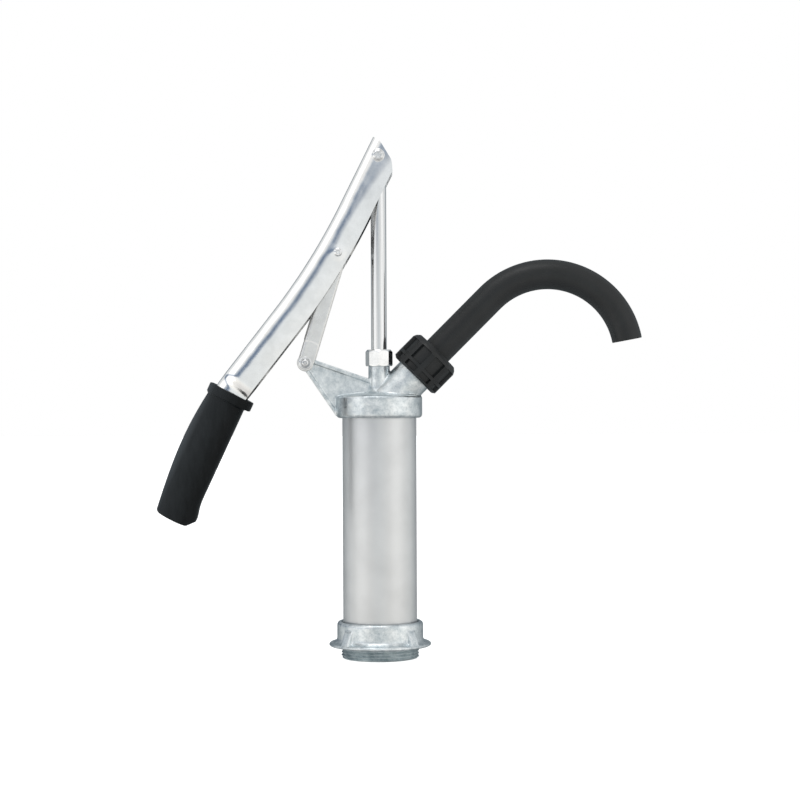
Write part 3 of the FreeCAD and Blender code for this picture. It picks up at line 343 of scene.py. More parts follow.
# ---- finishes ----------------------------------------------------------------------------------
class Shader:
    """Grows one material's nodes on Object coordinates measured in millimetres."""

    def __init__(self, name: str) -> None:
        """Start a material with its shader and its coordinates.

        Args:
            name: The material's name.
        """
        self.material = bpy.data.materials.new(name)
        self.material.use_nodes = True
        self.tree = self.material.node_tree
        self.surface = self.tree.nodes["Principled BSDF"]
        coordinates = self.tree.nodes.new("ShaderNodeTexCoord")
        self.place = coordinates.outputs["Object"]

    def set(self, **values: float | tuple) -> None:
        """Set plain values on the shader's own sockets, named with underscores for spaces."""
        for name, value in values.items():
            self.surface.inputs[name.replace("_", " ")].default_value = value

    def stretched(self, scale: tuple[float, float, float]) -> bpy.types.NodeSocket:
        """The coordinates, in millimetres, multiplied along each axis."""
        mapping = self.tree.nodes.new("ShaderNodeMapping")
        mapping.inputs["Scale"].default_value = [1000 * share for share in scale]
        self.tree.links.new(self.place, mapping.inputs["Vector"])
        return mapping.outputs["Vector"]

    def along(self, direction: tuple[float, float, float], offset: float) -> bpy.types.NodeSocket:
        """Distance along a direction from a plane, in millimetres.

        Args:
            direction: The direction, of length one.
            offset: The plane's own distance along it.

        Returns:
            The place's dot product with the direction, less the offset.
        """
        product = self.tree.nodes.new("ShaderNodeVectorMath")
        product.operation = "DOT_PRODUCT"
        product.inputs[1].default_value = [1000 * part for part in direction]
        self.tree.links.new(self.place, product.inputs[0])
        less = self.tree.nodes.new("ShaderNodeMath")
        less.operation = "SUBTRACT"
        less.inputs[1].default_value = offset
        self.tree.links.new(product.outputs["Value"], less.inputs[0])
        return less.outputs["Value"]

    def noise(self, grain: float, detail: float = 3.0, rough: float = 0.5,
              stretch: tuple[float, float, float] = (1, 1, 1)) -> bpy.types.NodeSocket:
        """Cloudy noise.

        Args:
            grain: Size of its largest clouds, in millimetres.
            detail: Number of finer layers.
            rough: Strength of the finer layers.
            stretch: Clouds are this many times shorter along each axis.

        Returns:
            A value from 0 to 1, mostly near the middle.
        """
        node = self.tree.nodes.new("ShaderNodeTexNoise")
        node.inputs["Scale"].default_value = 1 / grain
        node.inputs["Detail"].default_value = detail
        node.inputs["Roughness"].default_value = rough
        self.tree.links.new(self.stretched(stretch), node.inputs["Vector"])
        return node.outputs["Fac"]

    def cells(self, grain: float, feature: str = "SMOOTH_F1") -> bpy.types.NodeSocket:
        """Distance to scattered points about one grain apart."""
        node = self.tree.nodes.new("ShaderNodeTexVoronoi")
        node.feature = feature
        node.inputs["Scale"].default_value = 1 / grain
        self.tree.links.new(self.stretched((1, 1, 1)), node.inputs["Vector"])
        return node.outputs["Distance"]

    def span(self, source: bpy.types.NodeSocket, low: float, high: float,
             start: float = 0.3, end: float = 0.7) -> bpy.types.NodeSocket:
        """Carry a value from one range to another, held at the ends."""
        node = self.tree.nodes.new("ShaderNodeMapRange")
        for name, value in (("From Min", start), ("From Max", end), ("To Min", low), ("To Max", high)):
            node.inputs[name].default_value = value
        self.tree.links.new(source, node.inputs["Value"])
        return node.outputs["Result"]

    def sum(self, first: bpy.types.NodeSocket, second: bpy.types.NodeSocket,
            share: float) -> bpy.types.NodeSocket:
        """The first value plus a share of the second."""
        node = self.tree.nodes.new("ShaderNodeMath")
        node.operation = "MULTIPLY_ADD"
        node.inputs[1].default_value = share
        self.tree.links.new(second, node.inputs[0])
        self.tree.links.new(first, node.inputs[2])
        return node.outputs["Value"]

    def tones(self, source: bpy.types.NodeSocket, low: tuple, high: tuple,
              start: float = 0.3, end: float = 0.7) -> None:
        """Colour the surface between two tones as a value goes from start to end."""
        ramp = self.tree.nodes.new("ShaderNodeValToRGB")
        ramp.color_ramp.elements[0].position = start
        ramp.color_ramp.elements[0].color = (*low, 1)
        ramp.color_ramp.elements[1].position = end
        ramp.color_ramp.elements[1].color = (*high, 1)
        self.tree.links.new(source, ramp.inputs["Fac"])
        self.tree.links.new(ramp.outputs["Color"], self.surface.inputs["Base Color"])

    def gloss(self, source: bpy.types.NodeSocket, low: float, high: float) -> None:
        """Let a value carry the roughness from low to high."""
        self.tree.links.new(self.span(source, low, high), self.surface.inputs["Roughness"])

    def relief(self, height: bpy.types.NodeSocket, depth: float, strength: float = 1.0,
               under: bpy.types.NodeSocket | None = None) -> bpy.types.NodeSocket:
        """Bumps of a given depth in millimetres, laid over other bumps, on the shader's normal.

        Args:
            height: The bumps' height, from 0 to 1.
            depth: Millimetres from 0 to 1.
            strength: Share of the bumps that shows.
            under: The normal of bumps that lie below.

        Returns:
            The resulting normal.
        """
        node = self.tree.nodes.new("ShaderNodeBump")
        node.inputs["Distance"].default_value = depth * MM
        node.inputs["Strength"].default_value = strength
        self.tree.links.new(height, node.inputs["Height"])
        if under is not None:
            self.tree.links.new(under, node.inputs["Normal"])
        self.tree.links.new(node.outputs["Normal"], self.surface.inputs["Normal"])
        return node.outputs["Normal"]


@dataclass(frozen=True)
class Finish:
    """A surface's look, made once and shared by every piece that has it."""

    name: str
    tone: tuple[float, float, float]

    def material(self) -> bpy.types.Material:
        """The finish's material, made the first time that it is asked for."""
        found = bpy.data.materials.get(self.name)
        return found if found else self.grow()

    def grow(self) -> bpy.types.Material:
        """Make the material; each kind of finish has its own."""
        raise NotImplementedError

    def lighter(self, share: float) -> tuple[float, float, float]:
        """The tone multiplied by a share, held below 1."""
        return tuple(min(0.98, part * share) for part in self.tone)


@dataclass(frozen=True)
class TumbledCasting(Finish):
    """Die casting that was tumbled: soft dimples, satin clouds and a faint grain."""

    rough: tuple[float, float] = (0.26, 0.42)
    dimple: float = 2.4
    dimple_depth: float = 0.10

    def grow(self) -> bpy.types.Material:
        """Clouds of tone and gloss over dimples of two sizes."""
        shader = Shader(self.name)
        shader.set(Metallic=1.0)
        clouds = shader.sum(shader.noise(6.5, 5, 0.68), shader.noise(1.1, 3, 0.6), 0.35)
        shader.tones(clouds, tuple(part * share for part, share in zip(self.tone, (0.62, 0.67, 0.70))),
                     self.lighter(1.14), 0.50, 0.86)
        shader.gloss(shader.noise(3.2, 5, 0.65), *self.rough)
        wide = shader.relief(shader.noise(self.dimple * 2.2, 2, 0.4), self.dimple_depth * 3.2, 0.8)
        dimples = shader.relief(shader.cells(self.dimple), self.dimple_depth, 0.5, wide)
        shader.relief(shader.noise(0.55, 3, 0.6), 0.018, 0.6, dimples)
        return shader.material


@dataclass(frozen=True)
class SatinPaint(Finish):
    """Smooth satin lacquer with a fine sparkle of aluminium flake."""

    def grow(self) -> bpy.types.Material:
        """Even tone, half metal, with flake-sized changes of gloss and tone."""
        shader = Shader(self.name)
        shader.set(Metallic=0.8, Coat_Weight=0.05, Coat_Roughness=0.4)
        flakes = shader.noise(0.28, 2, 0.7)
        clouds = shader.sum(shader.noise(24.0, 3, 0.5), flakes, 0.18)
        shader.tones(clouds, self.lighter(0.93), self.lighter(1.05))
        shader.gloss(flakes, 0.30, 0.42)
        shader.relief(flakes, 0.006, 0.5)
        return shader.material


@dataclass(frozen=True)
class PlatedSheet(Finish):
    """Pressed steel sheet under a bright or a satin plating."""

    rough: tuple[float, float] = (0.12, 0.24)
    wave: float = 0.35
    haze: float = 0.25

    def grow(self) -> bpy.types.Material:
        """Long lazy waves that bend reflections, cloudy haze and fine drawing marks."""
        shader = Shader(self.name)
        shader.set(Metallic=1.0)
        clouds = shader.noise(13.0, 6, 0.66)
        shader.tones(clouds, self.lighter(1 - self.haze), self.lighter(1.04))
        shader.gloss(shader.noise(4.0, 6, 0.7), *self.rough)
        waves = shader.relief(shader.noise(17.0, 1, 0.3), self.wave, 0.9)
        marks = shader.relief(shader.noise(1.6, 4, 0.6), 0.022, 0.6, waves)
        shader.relief(shader.noise(0.35, 2, 0.5), 0.004, 0.5, marks)
        return shader.material


@dataclass(frozen=True)
class PolishedBar(Finish):
    """Drawn and polished bar with marks along its length."""

    rough: tuple[float, float] = (0.10, 0.20)

    def grow(self) -> bpy.types.Material:
        """Streaks that run along Z, in tone, gloss and relief."""
        shader = Shader(self.name)
        shader.set(Metallic=1.0, Anisotropic=0.3)
        streaks = shader.noise(1.3, 4, 0.6, (1, 1, 0.02))
        shader.tones(streaks, self.lighter(0.85), self.lighter(1.03))
        shader.gloss(streaks, *self.rough)
        shader.relief(streaks, 0.02, 0.6)
        return shader.material


@dataclass(frozen=True)
class MouldedPlastic(Finish):
    """Moulded plastic with a spark-eroded grain and slight unevenness."""

    rough: tuple[float, float] = (0.34, 0.46)
    grain: float = 0.32
    grain_depth: float = 0.02

    def grow(self) -> bpy.types.Material:
        """Fine grain over slow waves, with soft clouds of gloss."""
        shader = Shader(self.name)
        shader.set(Metallic=0.0, Specular_IOR_Level=0.36)
        clouds = shader.noise(14.0, 4, 0.55)
        shader.tones(clouds, self.lighter(0.85), self.lighter(1.25))
        shader.gloss(shader.noise(5.0, 5, 0.6), *self.rough)
        waves = shader.relief(shader.noise(22.0, 1, 0.3), 0.25, 0.6)
        shader.relief(shader.noise(self.grain, 2, 0.6), self.grain_depth, 0.8, waves)
        return shader.material


@dataclass(frozen=True)
class ScuffedVinylPaintedSheen(Finish):
    """Soft dipped vinyl with a painted highlight along its back, and faint scuffs that run along it.

    The painted highlight stands in for the satin sheen that the lamps lay along the back. The back is a
    line in the linkage's plane, and depths are measured square to it. The painted highlight falls fast
    over its first depths and slowly over its tail depths.
    """

    # pale is the painted highlight's added tone; the two depth spans set its fast fall and its slow painted
    # tail.
    pale: tuple[float, float, float] = (0.052, 0.059, 0.065)
    line_start: tuple[float, float] = (-134.0, 200.3)
    line_slope: float = 25.0
    painted_highlight_depth: tuple[float, float] = (-2.0, 8.5)
    painted_sheen_tail_depth: tuple[float, float] = (8.5, 30.0)
    painted_sheen_tail: float = 0.22

    def grow(self) -> bpy.types.Material:
        """Dark satin skin with a painted highlight along its back, where thin stretched clouds break it up.

        The distance from the back is the dot product of the place with the line's square direction.
        """
        shader = Shader(self.name)
        shader.set(Metallic=0.0, Specular_IOR_Level=0.13)
        across_x, across_z = (part.item() for part in heading(np.array(self.line_slope - 90)))
        offset = across_x * self.line_start[0] + across_z * self.line_start[1]
        depth = shader.along((across_x, 0.0, across_z), offset)
        fine = shader.noise(5.0, 8, 0.72, (1.3, 0.6, 0.35))
        # Painted highlight: full at the back's line, falling fast over the first depths.
        fade = shader.span(depth, 1.0, 0.0, *self.painted_highlight_depth)
        # Painted tail of the highlight: a slow fall over the deeper depths.
        painted_sheen_tail = shader.span(depth, self.painted_sheen_tail, 0.0, *self.painted_sheen_tail_depth)
        # The painted highlight and its tail, broken up by the stretched clouds.
        marks = shader.sum(shader.sum(fade, painted_sheen_tail, 1.0), fine, 0.25)
        # Tone runs from the dark skin to the skin plus the painted highlight's tone.
        shader.tones(marks, self.tone, tuple(a + b for a, b in zip(self.tone, self.pale)), 0.12, 1.0)
        shader.gloss(fine, 0.38, 0.54)
        waves = shader.relief(shader.noise(16.0, 2, 0.4), 0.35, 0.6)
        shader.relief(shader.noise(0.6, 3, 0.6), 0.02, 0.7, waves)
        return shader.material


CASTING = TumbledCasting("tumbled_casting", (0.76, 0.79, 0.80))
THREAD = TumbledCasting("drum_thread_casting", (0.58, 0.63, 0.64), (0.3, 0.46), 1.6, 0.05)
BARREL_PAINT = SatinPaint("barrel_lacquer", (0.60, 0.61, 0.615))
GLAND_PLATE = PlatedSheet("gland_plating", (0.84, 0.85, 0.85), (0.14, 0.26), 0.10, 0.20)
LEVER_PLATE = PlatedSheet("lever_plating", (0.95, 0.95, 0.945), (0.07, 0.16), 0.38, 0.12)
LINK_ZINC = PlatedSheet("link_zinc", (0.84, 0.84, 0.83), (0.24, 0.38), 0.12, 0.16)
PIN_PLATE = PlatedSheet("pin_plating", (0.80, 0.81, 0.82), (0.08, 0.18), 0.03, 0.2)
ROD_STEEL = PolishedBar("rod_steel", (0.76, 0.77, 0.78))
SPOUT_PLASTIC = MouldedPlastic("spout_plastic", (0.0075, 0.0090, 0.0098))
NUT_PLASTIC = MouldedPlastic("union_nut_plastic", (0.0065, 0.0078, 0.0086), (0.30, 0.44))
VALVE_PLASTIC = MouldedPlastic("valve_plastic", (0.30, 0.31, 0.32), (0.3, 0.42))
# The grip's vinyl, with a painted highlight along its back.
GRIP_VINYL_PAINTED_SHEEN = ScuffedVinylPaintedSheen("grip_vinyl_painted_sheen", (0.0022, 0.0032, 0.0038))
SEAL_RUBBER = MouldedPlastic("seal_rubber", (0.022, 0.022, 0.022), (0.55, 0.7), 0.5, 0.03)
BRASS = PlatedSheet("turned_brass", (0.72, 0.52, 0.24), (0.22, 0.34), 0.04, 0.15)


# ---- castings ----------------------------------------------------------------------------------
@dataclass
class Casting:
    """A casting whose corners are softened inside and out, grown from its CAD node."""

    node: str
    name: str
    finish: Finish
    body: Body = Body.PUMP
    slot: Slot = Slot.DIE_CAST
    voxel: float = 0.55
    smoothing: int = 7

    def shell(self) -> bpy.types.Object:
        """A merged copy of the node's mesh.

        Returns:
            The copy, as a new object.
        """
        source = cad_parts[self.node]
        mesh = source.data.copy()
        piece = bpy.data.objects.new(self.name, mesh)
        bpy.context.scene.collection.objects.link(piece)
        weld = piece.modifiers.new("weld", "WELD")
        weld.merge_threshold = 0.00001
        return piece

    def build(self) -> bpy.types.Object:
        """Remake the surface in even small faces and relax it, so that every edge gets a small radius.

        Returns:
            The finished casting.
        """
        piece = self.shell()
        remesh = piece.modifiers.new("even_faces", "REMESH")
        remesh.mode = "VOXEL"
        remesh.voxel_size = self.voxel * MM
        remesh.use_smooth_shade = True
        relax = piece.modifiers.new("soft_corners", "SMOOTH")
        relax.factor = 0.5
        relax.iterations = self.smoothing
        bpy.context.view_layer.update()
        graph = bpy.context.evaluated_depsgraph_get()
        made = bpy.data.meshes.new_from_object(piece.evaluated_get(graph))
        piece.modifiers.clear()
        piece.data = made
        made.name = self.name
        self.trim(made)
        made.shade_smooth()
        return dress(piece, self.body, self.slot, self.finish, self.node)

    def trim(self, mesh: bpy.types.Mesh) -> None:
        """Work on the relaxed mesh before it is dressed; a plain casting needs nothing."""


@dataclass
class DrumAdapter(Casting):
    """The drum adapter, with its pipe thread cut as one helix."""

    thread_radius: float = 29.8
    thread_depth: float = 1.15
    thread_core: float = 27.2
    pitch: float = 2.309
    thread_low: float = -9.236
    thread_high: float = -0.1
    runout: float = 0.9
    under_root: float = 0.3
    flange_skin: float = 0.35
    crest_stretch: float = 1.18
    root_flat: float = 0.06

    def trim(self, mesh: bpy.types.Mesh) -> None:
        """Turn the threaded end down to a plain cylinder under the helix.

        Points below the flange and outside the core move straight in to the root's radius.

        Args:
            mesh: The relaxed mesh.
        """
        spots = mesh_points(mesh)
        reach = np.hypot(spots[:, 0], spots[:, 1])
        root = self.thread_radius - self.thread_depth - self.under_root
        over = (spots[:, 2] < -self.flange_skin) & (reach > self.thread_core)
        spots[over, :2] *= (np.minimum(reach[over], root) / reach[over])[:, None]
        move_points(mesh, spots)

    def thread(self) -> bpy.types.Object:
        """The pipe thread.

        Its radius falls from crest to root as a triangle wave of the height plus the angle's share of
        one pitch, with flattened crests, and fades out towards both ends.

        Returns:
            The thread as a closed sleeve.
        """
        angle = np.linspace(0, 2 * math.pi, 256, endpoint=False)[None]
        height = np.linspace(self.thread_low, self.thread_high, 76)[:, None]
        phase = np.mod(height / self.pitch - angle / (2 * math.pi), 1)
        wave = np.clip(self.crest_stretch * (1 - np.abs(2 * phase - 1)) - self.root_flat, 0, 1)
        fade = np.minimum(height - self.thread_low, self.thread_high - height) / self.runout
        depth = self.thread_depth * (1 - wave * np.clip(fade, 0, 1))
        core = [(self.thread_core, self.thread_high), (self.thread_core, self.thread_low)]
        grid = with_bore(self.thread_radius - depth, height, angle, core)
        return dress(closed_grid("adapter_thread", grid, 40), self.body, self.slot, THREAD)


@dataclass
class Link(Casting):
    """The link: a pressed channel whose flanges step out round the arm pin."""

    pivot: tuple[float, float] = (-56.5, 217.4)
    lean: float = 16.9
    step_up: float = 17.0
    step_out: float = 0.34
    step_length: float = 1.1
    step_sag: float = 0.035

    def trim(self, mesh: bpy.types.Mesh) -> None:
        """Set the flanges' faces in above the step.

        The step is a smooth rise of the distance along the link, less a share of the square of the
        distance across it, which bows the step's line.

        Args:
            mesh: The relaxed mesh.
        """
        spots = mesh_points(mesh)
        turn = math.radians(self.lean)
        east, up = spots[:, 0] - self.pivot[0], spots[:, 2] - self.pivot[1]
        along = east * math.sin(turn) + up * math.cos(turn)
        across = east * math.cos(turn) - up * math.sin(turn)
        rise = smooth_step((along - self.step_up + self.step_sag * across ** 2) / self.step_length + 0.5)
        spots[:, 1] -= np.sign(spots[:, 1]) * self.step_out * rise
        move_points(mesh, spots)


# ---- barrel, gland and rod ---------------------------------------------------------------------
@dataclass
class Barrel:
    """The lacquered pump barrel."""

    outer: float = 28.5
    bore: float = 26.5
    edge: float = 0.4

    def build(self) -> bpy.types.Object:
        """A ring outline with eased edges, turned about the pump axis."""
        low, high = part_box("cylinder_tube")
        bottom, top = low.z / MM, high.z / MM
        loop = rounded_loop([(self.bore, bottom, self.edge), (self.outer, bottom, self.edge),
                             (self.outer, top, self.edge), (self.bore, top, self.edge)])
        piece = closed_grid("barrel", lathe(loop, 192))
        return dress(piece, Body.PUMP, Slot.PAINT, BARREL_PAINT, "cylinder_tube")


@dataclass
class GlandNut:
    """The eight-sided gland nut with a chamfer turned on its corners."""

    sides: int = 8
    flats: float = 19.3
    rod_hole: float = 6.35
    spigot_hole: float = 7.85
    hole_chamfer: float = 0.4
    lid: float = 2.4
    cone_inset: float = 0.7
    cone_slope: float = 0.85
    cone_reach: float = 2.72
    low_cone: float = 0.9
    crispness: float = 8.0

    def flat_distance(self, angle: np.ndarray) -> np.ndarray:
        """Radius of the flats at an angle: half their width over the cosine to the nearest flat."""
        pitch = 2 * math.pi / self.sides
        offset = (angle + math.pi / 2) % pitch - pitch / 2
        return self.flats / 2 / np.cos(offset)

    def build(self) -> bpy.types.Object:
        """Rows of the nut's outline, each a soft least of the flats' distance and two cones' radii.

        The soft least is minus the logarithm of the sum of exponentials, over the crispness.
        """
        low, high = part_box("gland_nut")
        bottom, top = low.z / MM, high.z / MM
        angle = np.linspace(0, 2 * math.pi, 320, endpoint=False)
        flats = self.flat_distance(angle)
        rim = self.flats / 2 - self.cone_inset
        height = np.concatenate([[bottom, bottom + 0.25, bottom + 0.5],
                                 np.linspace(bottom + 0.8, top - 2.6, 12),
                                 np.linspace(top - 2.4, top, 18)])
        cone = np.minimum(rim + (top - height) * self.cone_slope, rim + self.cone_reach)
        cone = np.minimum(cone, rim + self.cone_slope * (height - bottom) + self.low_cone)
        powers = np.exp(-self.crispness * flats[None]) + np.exp(-self.crispness * cone[:, None])
        under_lid = top - self.lid
        bore = [(rim - 0.5, top), (self.rod_hole + self.hole_chamfer, top),
                (self.rod_hole, top - self.hole_chamfer), (self.rod_hole, under_lid),
                (self.spigot_hole, under_lid), (self.spigot_hole, bottom)]
        grid = with_bore(-np.log(powers) / self.crispness, height, angle, bore)
        piece = closed_grid("gland_nut_plated", grid, 28)
        return dress(piece, Body.PUMP, Slot.BRIGHT, GLAND_PLATE, "gland_nut")


# ---- outlet ------------------------------------------------------------------------------------
@dataclass
class Outlet:
    """The union nut and the spout, on an axis that leaves the pump axis at a slant."""

    slant: float = 45.0
    height: float = 181.1
    nut_start: float = 37.6
    nut_length: float = 26.0
    nut_radius: float = 21.5
    nut_low_radius: float = 19.2
    nut_low_chamfer: float = 1.6
    nut_top_chamfer: float = 4.6
    nut_top_inset: float = 3.5
    nut_knee: float = 0.45
    nut_knee_inset: float = 0.35
    nut_bore: float = 15.15
    nut_mouth: float = 11.85
    lip: float = 51.35
    pockets: int = 9
    pocket_span: float = 27.6
    pocket_turn: float = 6.8
    pocket_depth: float = 2.0
    pocket_rows: tuple[tuple[float, float], ...] = ((9.0, 21.5), (2.2, 6.2))
    wall_slope: float = 0.35
    pocket_margin: float = 4.0
    collar_gap: float = 0.35
    spout_radius: float = 11.5
    spout_bore: float = 9.5
    spout_start: float = 47.5
    spout_straight_end: float = 121.1
    bend_radius: float = 62.4
    sweep: float = 124.5
    collar_radius: float = 15.6
    collar_thick: float = 3.5
    collar_ease: float = 0.4

    def slanted(self, grid: np.ndarray) -> np.ndarray:
        """Turn points made on the Z axis about Y onto the outlet axis."""
        turn = math.radians(self.slant)
        return np.stack([grid[..., 0] * math.cos(turn) + grid[..., 2] * math.sin(turn), grid[..., 1],
                         grid[..., 2] * math.cos(turn) - grid[..., 0] * math.sin(turn) + self.height], -1)

    def nut_outline(self, along: np.ndarray) -> np.ndarray:
        """Radius of the nut without its pockets, by distance from its lower end."""
        top = self.nut_length
        knots = [0, self.nut_low_chamfer, top - self.nut_top_chamfer,
                 top - self.nut_top_chamfer * self.nut_knee, top]
        radii = [self.nut_low_radius, self.nut_radius, self.nut_radius,
                 self.nut_radius - self.nut_top_inset * self.nut_knee_inset,
                 self.nut_radius - self.nut_top_inset]
        return np.interp(along, knots, radii)

    def pocket_share(self, angle: np.ndarray, along: np.ndarray) -> np.ndarray:
        """How deep a point lies in a pocket, from 0 to 1.

        The share is the product of a step up and a step down round the nut and of the same along it.

        Args:
            angle: Degrees round the nut from the first pocket's start, one row.
            along: Distances from the nut's lower end, one column.

        Returns:
            The share at every crossing.
        """
        pitch = 360 / self.pockets
        turn = np.mod(angle + self.pocket_margin, pitch) - self.pocket_margin
        slope = math.degrees(self.wall_slope / self.nut_radius)
        across = smooth_step(turn / slope + 0.5) * smooth_step((self.pocket_span - turn) / slope + 0.5)
        share = np.zeros((along.shape[0], angle.shape[1]))
        for low, high in self.pocket_rows:
            rows = smooth_step((along - low) / self.wall_slope + 0.5)
            rows = rows * smooth_step((high - along) / self.wall_slope + 0.5)
            share = np.maximum(share, across * rows)
        return share

    def nut(self) -> bpy.types.Object:
        """The union nut: its outline less its pockets, closed through its bore."""
        pitch = 360 / self.pockets
        slope = math.degrees(self.wall_slope / self.nut_radius)
        wall = np.linspace(-0.7, 0.7, 7)
        floor = np.linspace(slope, self.pocket_span - slope, 18)
        rib = np.linspace(self.pocket_span + slope, pitch - slope, 9)
        walls = np.concatenate([wall * slope, self.pocket_span + wall * slope, floor, rib])
        one = np.unique(walls.round(5))
        angle = (one[None] + pitch * np.arange(self.pockets)[:, None]).reshape(1, -1)
        edges = [wall * self.wall_slope + edge for row in self.pocket_rows for edge in row]
        ends = np.array([0.0, 0.4, self.nut_low_chamfer, self.nut_length - 0.3, self.nut_length])
        rows = np.concatenate([*edges, np.linspace(0, self.nut_length, 40), ends])
        along = np.unique(rows.round(5))[:, None]
        radius = self.nut_outline(along) - self.pocket_depth * self.pocket_share(angle, along)
        lip, top = self.lip - self.nut_start, self.nut_length
        seat = self.collar_radius + self.collar_gap
        bore = [(self.nut_radius - self.nut_top_inset - 0.5, top), (self.nut_mouth + 0.5, top),
                (self.nut_mouth, top - 0.5), (self.nut_mouth, lip), (seat, lip),
                (seat, self.spout_start - self.nut_start - 1.5), (self.nut_bore, 7.0),
                (self.nut_bore, 0.4), (self.nut_bore + 0.4, 0.0)]
        turn = np.radians(angle + self.pocket_turn - 90)
        grid = with_bore(radius, along, turn, bore)
        grid[..., 2] += self.nut_start
        piece = closed_grid("union_nut_moulding", self.slanted(grid), 28)
        return dress(piece, Body.UNION_NUT, Slot.BLACK_PLASTIC, NUT_PLASTIC, "union_nut")

    def spine(self, along: np.ndarray) -> tuple[np.ndarray, np.ndarray]:
        """The spout's centre line: straight, then an arc of the bend's radius.

        Args:
            along: Distances from the pump axis.

        Returns:
            The (x, z) points before the slant, and how far the line has turned, in radians.
        """
        turned = np.clip((along - self.spout_straight_end) / self.bend_radius, 0, None)
        straight = np.minimum(along, self.spout_straight_end)
        aside = self.bend_radius * (1 - np.cos(turned))
        return np.stack([aside, straight + self.bend_radius * np.sin(turned)], -1), turned

    def spout(self) -> bpy.types.Object:
        """The spout: a walk out along its skin and back through its bore, carried round its spine."""
        end = self.spout_straight_end + math.radians(self.sweep) * self.bend_radius
        start = self.spout_start
        collar_top = start + self.collar_thick
        out = np.linspace(collar_top + 1, end - 0.8, 220)
        lip = [(end - 0.3, self.spout_radius - 0.05), (end, self.spout_radius - 0.35),
               (end, self.spout_bore + 0.3), (end - 0.3, self.spout_bore)]
        eased = self.collar_radius - self.collar_ease
        walk = [(start, self.spout_bore), (start, eased), (start + self.collar_ease, self.collar_radius),
                (collar_top - self.collar_ease, self.collar_radius), (collar_top, eased),
                (collar_top, self.spout_radius)]
        walk += [(spot, self.spout_radius) for spot in out] + lip
        walk += [(spot, self.spout_bore) for spot in out[::-3]]
        path = np.array(walk)
        points, turned = self.spine(path[:, 0])
        angle = np.linspace(0, 2 * math.pi, 96, endpoint=False)
        side = path[:, 1:2] * np.cos(angle)
        grid = np.stack([points[:, :1] + side * np.cos(turned)[:, None],
                         path[:, 1:2] * np.sin(angle),
                         points[:, 1:2] - side * np.sin(turned)[:, None]], -1)
        piece = closed_grid("spout_moulding", self.slanted(grid), 40)
        return dress(piece, Body.SPOUT, Slot.BLACK_PLASTIC, SPOUT_PLASTIC, "spout")


# ---- lever and grip ----------------------------------------------------------------------------
@dataclass
class LeverLine:
    """The line of the lever's back from the tip to the end of the shank."""

    rod_pivot: tuple[float, float]
    tip_angle: float = 26.5
    mid_angle: float = 38.0
    shank_angle: float = 25.0
    pivot_depth: float = 9.9
    overhang: float = 11.4
    straight: float = 58.0
    long_radius: float = 480.0
    mid_length: float = 57.2
    neck_length: float = 9.0
    shank_radius: float = 40.0
    shank_length: float = 90.0
    step: float = 0.1
    before_tip: float = 20.0
    past_end: float = 30.0

    def knots(self) -> tuple[np.ndarray, np.ndarray]:
        """Distances where the back starts or stops turning, and its slope there."""
        long_bend = math.radians(self.mid_angle - self.tip_angle) * self.long_radius
        shank_bend = math.radians(self.mid_angle - self.shank_angle) * self.shank_radius
        middle = self.mid_length + self.neck_length
        runs = [0, self.straight, long_bend, middle, shank_bend, self.shank_length]
        return np.cumsum(runs), np.repeat([self.tip_angle, self.mid_angle, self.shank_angle], 2)

    def at(self, along: np.ndarray) -> tuple[np.ndarray, np.ndarray, np.ndarray]:
        """Place and slope of the back.

        The slope changes evenly along each bend, and the place is the running sum of short steps
        taken along the slope.

        Args:
            along: Distances from the tip.

        Returns:
            X, Z and slope in degrees at each distance.
        """
        marks, slopes = self.knots()
        fine = np.arange(-self.before_tip, marks[-1] + self.past_end, self.step)
        slope = np.interp(fine + self.step / 2, marks, slopes)
        step_x, step_z = heading(slope)
        x, z = np.cumsum(step_x) * self.step, np.cumsum(step_z) * self.step
        down, away = np.array(heading(self.tip_angle)), np.array(heading(self.tip_angle - 90))
        start = np.array(self.rod_pivot) - away * self.pivot_depth - down * self.overhang
        ends = fine + self.step
        x = x - np.interp(0, ends, x) + start[0]
        z = z - np.interp(0, ends, z) + start[1]
        return np.interp(along, ends, x), np.interp(along, ends, z), np.interp(along, marks, slopes)

    def bend_end(self) -> float:
        """Distance at which the shank's bend ends."""
        return float(self.knots()[0][4])


